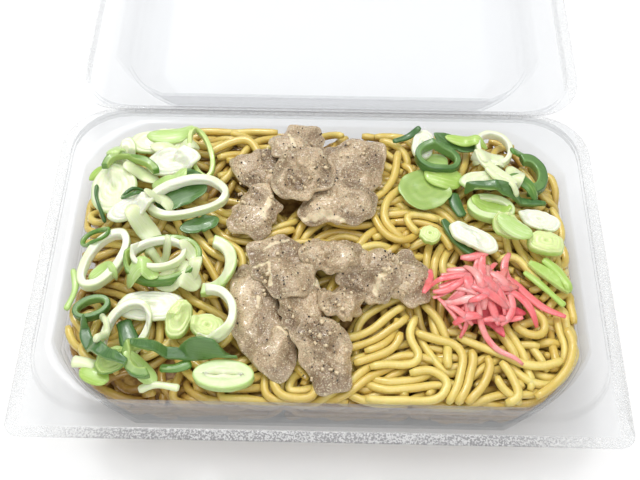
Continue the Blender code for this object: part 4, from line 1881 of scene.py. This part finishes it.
@dataclass
class LooseScallions:
    """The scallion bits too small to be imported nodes, one mesh for each tone.

    Attributes:
        bands: The bits of each tone.
        rng: Its own random numbers.
    """

    bands: dict[Scallion, Sequence[LooseBand]]
    rng: np.random.Generator = field(default_factory=lambda: np.random.default_rng(SEED + 2))

    def build(self) -> None:
        """Lays every band on the toppings below it."""
        relief = Relief(FOOD)
        for tone in Scallion:
            strands = [self._strand(band, relief) for band in self.bands[tone]]
            item = strand_mesh(f"{tone.value.name}_bits", strands, 16)
            keep(item, "skin", np.clip((0.85 - normals_of(item)[:, 2]) / 0.4, 0, 1))
            place_piece(item, tone.value.material(), tone.value.name)

    def _strand(self, band: LooseBand, relief: Relief) -> Strand:
        """One band draped over what is under it.

        Args:
            band: The band.
            relief: The food's faces.

        Returns:
            The strand.
        """
        plan = through([in_row(*place) for place in band.places], 0.7)
        heights = np.array([relief.top(x, y) for x, y in plan])
        for _ in range(10):
            raised = (np.roll(heights, 1) + np.roll(heights, -1)) / 2
            raised[[0, -1]] = heights[[0, -1]]
            heights = np.maximum(heights, raised)
        heights = smoothed(heights, 6)
        line = np.column_stack((plan, heights + band.height / 2 + band.lift))
        if band.slice:
            share = np.linspace(-0.995, 0.995, len(line))
            swell = np.sqrt(1 - np.abs(share) ** 2.3)
        else:
            swell = 1 + 0.12 * np.sin(np.arange(len(line)) * 0.35 + self.rng.random() * 6)
            swell[[0, -1]] *= 0.6
        radius = band.width / 2 * swell
        return Strand(line, radius, band.height / band.width, self.rng.random())


# ---------------------------------------------------------------- ginger, pepper and crumbs


@dataclass
class GingerHeap:
    """Shredded red pickled ginger over a smaller core.

    Attributes:
        middle: Plan middle from the tray's middle.
        long_strips: Strips that reach out of the heap.
        count: Strips heaped at random.
        width: Usual strip width.
        ways: Usual headings of the heaped strips, in radians.
        rng: Its own random numbers.
    """

    middle: tuple[float, float] = (51.5, -16.5)
    long_strips: Sequence[Sequence[tuple[float, float]]] = (
        ((59, -9), (65, -11), (70, -16), (75, -20), (82, -23)),
        ((52, -14), (52, -22), (53, -29), (57, -35), (61, -38), (66, -41)),
        ((60, -4), (56, -9), (49, -13), (43, -17), (37, -20)),
        ((53, -27), (60, -26), (67, -25)),
        ((45, -17), (48, -23), (48, -28), (46, -32)),
        ((40, -11), (46, -11), (52, -11), (60, -11)),
        ((60, -17), (65, -17), (69, -21), (72, -27)),
        ((42, -21), (47, -18), (53, -17), (58, -13)),
        ((39, -16), (45, -15), (51, -17), (56, -22)),
        ((62, -13), (57, -17), (52, -21), (46, -24)),
    )
    count: int = 38
    width: float = 3.0
    ways: tuple[float, ...] = (-0.5, -1.7, 0.4, 2.7)
    rng: np.random.Generator = field(default_factory=lambda: np.random.default_rng(SEED + 3))

    def build(self) -> None:
        """Builds the strips and the core."""
        self.relief = Relief(["pickled_ginger", "noodles"])
        strands = [self._strip(np.array([in_row(*place) for place in strip]), 0.5)
                   for strip in self.long_strips]
        strands += [self._random_strip() for _ in range(self.count)]
        item = strand_mesh("ginger_strips", strands, 12)
        place_piece(item, GingerFinish().material(), "pickled_ginger", "pickled_ginger")
        # The ginger core's deeper reds are painted shade between the strips.
        core = CoreFinish("ginger_core", (0.84, 0.17, 0.20), (0.70, 0.07, 0.10))
        add_core("pickled_ginger", (0.6, 0.6, 0.75), 0.0, 2, core, "pickled_ginger")

    def _random_strip(self) -> Strand:
        """A strip that starts in the heap and bends outwards."""
        heading = self.rng.choice(self.ways) + self.rng.normal() * 0.4
        length = self.rng.uniform(9, 17)
        back = np.array((math.cos(heading), math.sin(heading))) * length / 2
        start = np.array(in_row(*self.middle)) + self.rng.normal(size=2) * (5.5, 4.5) - back
        turn = self.rng.normal() * 0.07
        places = [start]
        for _ in range(4):
            heading += turn * length / 4
            places.append(places[-1] + length / 4 * np.array((math.cos(heading), math.sin(heading))))
        return self._strip(np.array(places), self.rng.uniform(0.0, 2.6))

    def _strip(self, places: Array, lift: float) -> Strand:
        """A flattened strip draped over the heap.

        Args:
            places: Its plan places.
            lift: How far above the heap it lies.

        Returns:
            The strand.
        """
        plan = through(places, 0.9)
        heights = smoothed(np.array([self.relief.top(x, y) for x, y in plan]), 12)
        share = np.linspace(0, 1, len(plan))
        rise = lift * np.sin(math.pi * (0.15 + 0.7 * share)) + 0.4
        width = self.width * self.rng.uniform(0.65, 1.25)
        radius = width / 2 * (0.25 + 0.75 * np.sin(math.pi * (0.06 + 0.88 * share)) ** 0.7)
        return Strand(np.column_stack((plan, heights + rise)), radius, self.rng.uniform(0.32, 0.5),
                      self.rng.random() ** 1.5)


@dataclass
class Crumbs:
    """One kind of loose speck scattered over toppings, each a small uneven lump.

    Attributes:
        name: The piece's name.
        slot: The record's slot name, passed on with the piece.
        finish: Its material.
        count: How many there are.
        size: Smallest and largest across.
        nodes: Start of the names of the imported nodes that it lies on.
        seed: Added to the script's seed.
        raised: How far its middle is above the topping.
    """

    name: str
    slot: str
    finish: SpeckFinish
    count: int
    size: tuple[float, float]
    nodes: tuple[str, ...]
    seed: int
    raised: float

    def build(self) -> None:
        """Scatters the specks and joins them in one mesh."""
        rng = np.random.default_rng(SEED + self.seed)
        hosts = [name for name in FOOD if name.startswith(self.nodes)]
        relief = Relief(hosts)
        ceiling = max(box_mm(name)[1][2] for name in FOOD) - self.size[1]
        bpy.ops.object.select_all(action="DESELECT")
        bpy.ops.mesh.primitive_ico_sphere_add(subdivisions=2, radius=0.5 * MM)
        lump = bpy.context.object
        shape = points_of(lump)
        faces = np.array([face.vertices[:] for face in lump.data.polygons])
        bpy.data.objects.remove(lump)
        points, corners = [], []
        for number in range(self.count):
            low, high = box_mm(hosts[rng.integers(len(hosts))])
            place = (low + high)[:2] / 2 + (rng.random(2) - 0.5) * (high - low)[:2] * 0.8
            size = rng.uniform(*self.size) * rng.uniform(0.6, 1.0, 3)
            turn = Matrix(Euler(rng.uniform(0, 6, 3)).to_matrix())
            bumps = 1 + 0.25 * rng.normal(size=(len(shape), 1))
            spots = (shape * bumps * size) @ np.array(turn).T
            height = min(relief.top(*place) + self.raised, ceiling)
            points.append(spots + (place[0], place[1], height))
            corners.append(faces + number * len(shape))
        item = new_object(self.name, np.concatenate(points), np.concatenate(corners).tolist())
        place_piece(item, self.finish.material(), self.slot)


# ---------------------------------------------------------------- studio


@dataclass
class Studio:
    """Floor, soft lights and the camera above the tray's front.

    Attributes:
        stand: The camera's place in metres.
        down: How far it looks down, in degrees.
        yaw: How far it is turned to the left, in degrees.
        roll: How far it is tilted, in degrees.
        lens: Its focal length on a 36 mm wide sensor.
        lights: Each light's name, place and size in metres, and power in watts.
    """

    stand: tuple[float, float, float] = (0.0020, -0.2566, 0.3223)
    down: float = 56.4
    yaw: float = 0.91
    roll: float = 0.31
    lens: float = 56.16
    lights: tuple[tuple[str, tuple[float, float, float], float, float], ...] = (
        ("window", (-0.3, 0.42, 1.05), 0.8, 5.4),
        ("spark", (-0.22, 0.42, 0.85), 0.14, 1.5),
        ("overhead", (0.25, -0.05, 1.15), 0.8, 3.5),
        ("front", (0.1, -0.9, 0.8), 0.8, 3.0),
    )

    def build(self) -> None:
        """Adds the floor, the lights, the sky and the camera."""
        bpy.ops.object.select_all(action="DESELECT")
        bpy.ops.mesh.primitive_plane_add(size=6.0, location=(0, 0, -0.0002))
        floor = bpy.context.object
        floor.name = "floor"
        floor.data.materials.append(FloorFinish().material())
        with editing(floor):
            bpy.ops.mesh.subdivide(number_cuts=3)
        for light in self.lights:
            self._light(*light)
        world = bpy.data.worlds.new("studio")
        world.use_nodes = True
        sky = world.node_tree.nodes["Background"]
        sky.inputs["Color"].default_value = (1.0, 1.0, 1.0, 1.0)
        sky.inputs["Strength"].default_value = 0.47
        bpy.context.scene.world = world
        bpy.context.scene.view_settings.view_transform = "Standard"
        self._camera()

    @staticmethod
    def _light(name: str, place: tuple[float, float, float], size: float, power: float) -> None:
        """A square soft light that faces the tray.

        Args:
            name: Its name.
            place: Where it is, in metres.
            size: Its side in metres.
            power: Its power in watts.
        """
        lamp = bpy.data.lights.new(name, "AREA")
        lamp.size = size
        lamp.energy = power
        item = bpy.data.objects.new(name, lamp)
        bpy.context.scene.collection.objects.link(item)
        item.location = place
        aim = Vector((0, -0.05, 0)) - Vector(place)
        item.rotation_euler = aim.to_track_quat("-Z", "Y").to_euler()

    def _camera(self) -> None:
        """Adds the camera and makes it the scene's."""
        camera = bpy.data.cameras.new("camera")
        camera.lens = self.lens
        camera.sensor_width = 36.0
        camera.clip_start = 0.01
        item = bpy.data.objects.new("camera", camera)
        bpy.context.scene.collection.objects.link(item)
        item.location = self.stand
        tilt = Euler((math.radians(90 - self.down), 0, math.radians(self.yaw)))
        turned = tilt.to_matrix() @ Matrix.Rotation(math.radians(self.roll), 3, "Z")
        item.rotation_euler = turned.to_euler()
        bpy.context.scene.camera = item


# ---------------------------------------------------------------- the whole


SHOWN_NOODLES = (
    ((34, -19), (38, -22), (41, -27), (43, -32), (42, -38), (40, -43)),
    ((31, -24), (28, -27), (29, -32), (32, -36), (33, -40), (29, -42), (22, -41), (16, -41)),
    ((30, -30), (36, -31), (42, -32), (47, -35), (47, -41), (45, -48), (43, -56)),
    ((29, -43), (35, -42), (41, -45), (43, -49), (39, -53), (32, -55), (24, -56), (15, -57)),
    ((45, -31), (52, -35), (59, -37), (66, -40), (73, -41), (80, -39)),
    ((51, -35), (50, -41), (47, -47), (43, -56)),
    ((56, -37), (56, -43), (52, -49), (46, -54)),
    ((61, -38), (63, -46), (64, -52), (62, -57)),
    ((56, -45), (60, -50), (65, -54)),
    ((64, -26), (70, -30), (76, -27), (75, -22), (69, -18)),
    ((83, -26), (84, -33), (82, -40), (76, -48), (71, -53)),
    ((61, -2), (66, 1), (71, -3), (75, -10)),
    ((28, -24), (25, -30), (20, -34), (14, -36)),
    ((13, 19), (19, 22), (24, 29), (27, 36), (27, 43)),
    ((27, 36), (32, 36), (32, 31), (27, 26), (22, 20), (21, 13), (24, 6), (31, 4)),
    ((33, 8), (29, 12), (30, 17), (36, 16), (40, 13)),
    ((16, 19), (19, 12), (22, 6), (28, 4), (33, 9), (38, 12), (42, 9), (44, 2)),
    ((16, 44), (19, 38), (25, 36), (30, 36)),
    ((-36, 53), (-28, 56), (-19, 59), (-8, 60), (0, 57), (6, 51)),
    ((-49, 55), (-38, 56), (-27, 55), (-18, 54)),
    ((-43, 42), (-35, 47), (-28, 48), (-25, 42), (-22, 36)),
    ((3, -33), (10, -32), (17, -29), (23, -23), (28, -20)),
    ((5, -36), (13, -35), (21, -33), (26, -28), (29, -24)),
    ((11, -41), (18, -39), (24, -34), (27, -29)),
    ((-40, 3), (-32, 2), (-27, -3), (-28, -10), (-33, -16), (-40, -17)),
    ((-24, 2), (-17, 6), (-10, 8)),
    ((-15, -47), (-13, -53), (-7, -56), (-2, -54), (-1, -49)),
    ((-34, -36), (-28, -30), (-26, -23), (-29, -16)),
    ((14, 57), (19, 58), (25, 59), (31, 60)),
)

FAT = tuple(Streak(*strip) for strip in (
    ((-18, 20), (-21, 10), 2.3), ((-11, 17), (-12, 15), 1.6), ((-14, 14), (-9, 11.5), 1.1),
    ((-7, 10), (0, 11), 2.0), ((0, 11), (6, 10), 2.0), ((6, 10), (9, 6), 1.5),
    ((-23, -10), (-18, -10), 1.2), ((-18, -10), (-17, -18), 1.2), ((-21, -21), (-21, -25), 1.2),
    ((18, -18), (19, -14), 2.0), ((19, -14), (23, -12), 1.6), ((20, -23), (18, -26), 1.2),
    ((-20, -3), (-12, 2), 1.2), ((-14, -32), (-11, -34), 1.1), ((-13, 45), (-11, 39), 1.3),
    ((-1, -13), (-2, -16), 1.3), ((-2, -16), (1, -17), 1.1),
))

CURLS = (
    Curl((-9, 24), (15, 13), 1.4),
    Curl((5, -25), (13, 12), 1.7),
    Curl((3, -7), (17, 10), 1.2),
)

BITS = {
    Scallion.WHITE: (
        LooseBand(((-60, -4), (-55, -7), (-52, -3)), 3.4, 2.0),
        LooseBand(((-58, -53), (-53, -51), (-45, -52)), 2.6, 1.6),
        LooseBand(((-81, -43), (-77, -43.5), (-73, -45)), 4.5, 1.6),
        LooseBand(((58, 33), (62, 27), (68, 20)), 2.4, 1.4, 1.0),
        LooseBand(((-64, 41), (-55, 40), (-46, 42)), 6.5, 1.8, 0.6, True),
        LooseBand(((-68, 10), (-62, 6), (-57, 1)), 8.0, 1.8, 0.3, True),
        LooseBand(((-57, -14), (-49, -13), (-41, -15)), 10.0, 1.6, 0.2, True),
        LooseBand(((-72, 29), (-66, 30), (-60, 27)), 7.0, 1.8, 0.3, True),
        LooseBand(((-62, 15), (-57, 17), (-53, 13)), 6.0, 1.8, 0.4, True),
        LooseBand(((54, 37), (60, 39), (66, 37)), 8.0, 1.4, 0.2, True),
        LooseBand(((67, 37), (69, 31), (68, 25)), 6.0, 1.6, 0.5, True),
        LooseBand(((-48, -4), (-43, -8), (-44, -14)), 5.0, 1.6, 0.5, True),
        LooseBand(((-73, -27), (-70, -33), (-72, -40)), 2.4, 3.0, 0.3),
    ),
    Scallion.PALE: (
        LooseBand(((-78, 45), (-76, 38), (-75, 31)), 7.0, 2.2, 0.4, True),
        LooseBand(((-66, 47), (-58, 46), (-48, 47.5)), 7.0, 1.8, -0.6, True),
        LooseBand(((-62, 26), (-54, 24), (-49, 28)), 7.0, 1.8, 0.2, True),
        LooseBand(((-66, -16), (-60, -13), (-55, -16)), 7.0, 1.6, 0.2, True),
        LooseBand(((-80, -12), (-74, -9), (-70, -13)), 5.0, 1.6, 0.2, True),
        LooseBand(((-62, -45), (-57, -47), (-53, -51)), 6.5, 1.8, 0.4, True),
        LooseBand(((60, 10), (66, 6), (72, 4)), 7.0, 2.0, 0.3, True),
        LooseBand(((37, 37), (41, 38), (45, 37)), 8.0, 1.4, 0.1, True),
        LooseBand(((-86, -8), (-84, -16), (-86, -24)), 2.2, 1.6, 0.3),
    ),
    Scallion.LIME: (
        LooseBand(((69, -7), (75, -12), (82, -19)), 2.4, 1.2),
        LooseBand(((-86, 30), (-82, 33), (-77, 32)), 4.0, 1.8, 0.3, True),
        LooseBand(((-78, -46), (-73, -48), (-68, -50)), 6.5, 1.8, 0.2, True),
        LooseBand(((36, 32), (43, 30), (50, 31)), 10.0, 1.8, 0.2, True),
        LooseBand(((44, 47), (52, 46), (60, 45)), 5.0, 1.6, 0.3, True),
        LooseBand(((52, 20), (59, 18), (66, 16)), 7.0, 1.8, 0.2, True),
        LooseBand(((76, -2), (81, -7), (84, -14)), 3.4, 1.6, 0.4),
    ),
    Scallion.GREEN: (
        LooseBand(oval((-79, 3), (10, 7), 10), 1.3, 1.8),
        LooseBand(((-52, -45), (-47, -45), (-42, -43)), 3.4, 1.4),
        LooseBand(((68, 42), (72, 43), (77, 42)), 3.0, 1.4),
        LooseBand(((66, 30), (72, 27), (76, 22)), 5.0, 1.6, 0.2, True),
    ),
    Scallion.DARK: (
        LooseBand(oval((-66, 18), (10, 6), 30), 1.2, 1.6),
        LooseBand(((-66, -28), (-64, -33), (-62, -38)), 6.0, 1.6),
        LooseBand(((-81, 23), (-80.5, 18), (-77, 10)), 1.4, 2.0, -0.4),
        LooseBand(((25, 46), (30, 48), (35, 51)), 2.4, 1.4),
        LooseBand(((46, 24), (47, 19), (49, 14)), 4.0, 1.4),
    ),
}


def main() -> None:
    """Builds every sub-assembly in order."""
    ClearPack().build()
    NoodleHeap(shown=SHOWN_NOODLES).build()
    PorkMound(FAT, CURLS).build()
    ScallionCuts().build()
    LooseScallions(BITS).build()
    GingerHeap().build()
    pepper = SpeckFinish("pepper", (0.10, 0.08, 0.06), (0.02, 0.016, 0.014), 0.6)
    cream = SpeckFinish("cream_bits", (0.82, 0.70, 0.48), (0.66, 0.50, 0.30), 0.35)
    Crumbs("pepper", "pork", pepper, 420, (0.25, 0.8), ("pork_",), 4, 0.75).build()
    Crumbs("fat_bits", "pork", cream, 150, (0.7, 1.9), ("pork_",), 5, 0.6).build()
    Studio().build()


if __name__ == "__main__":
    main()
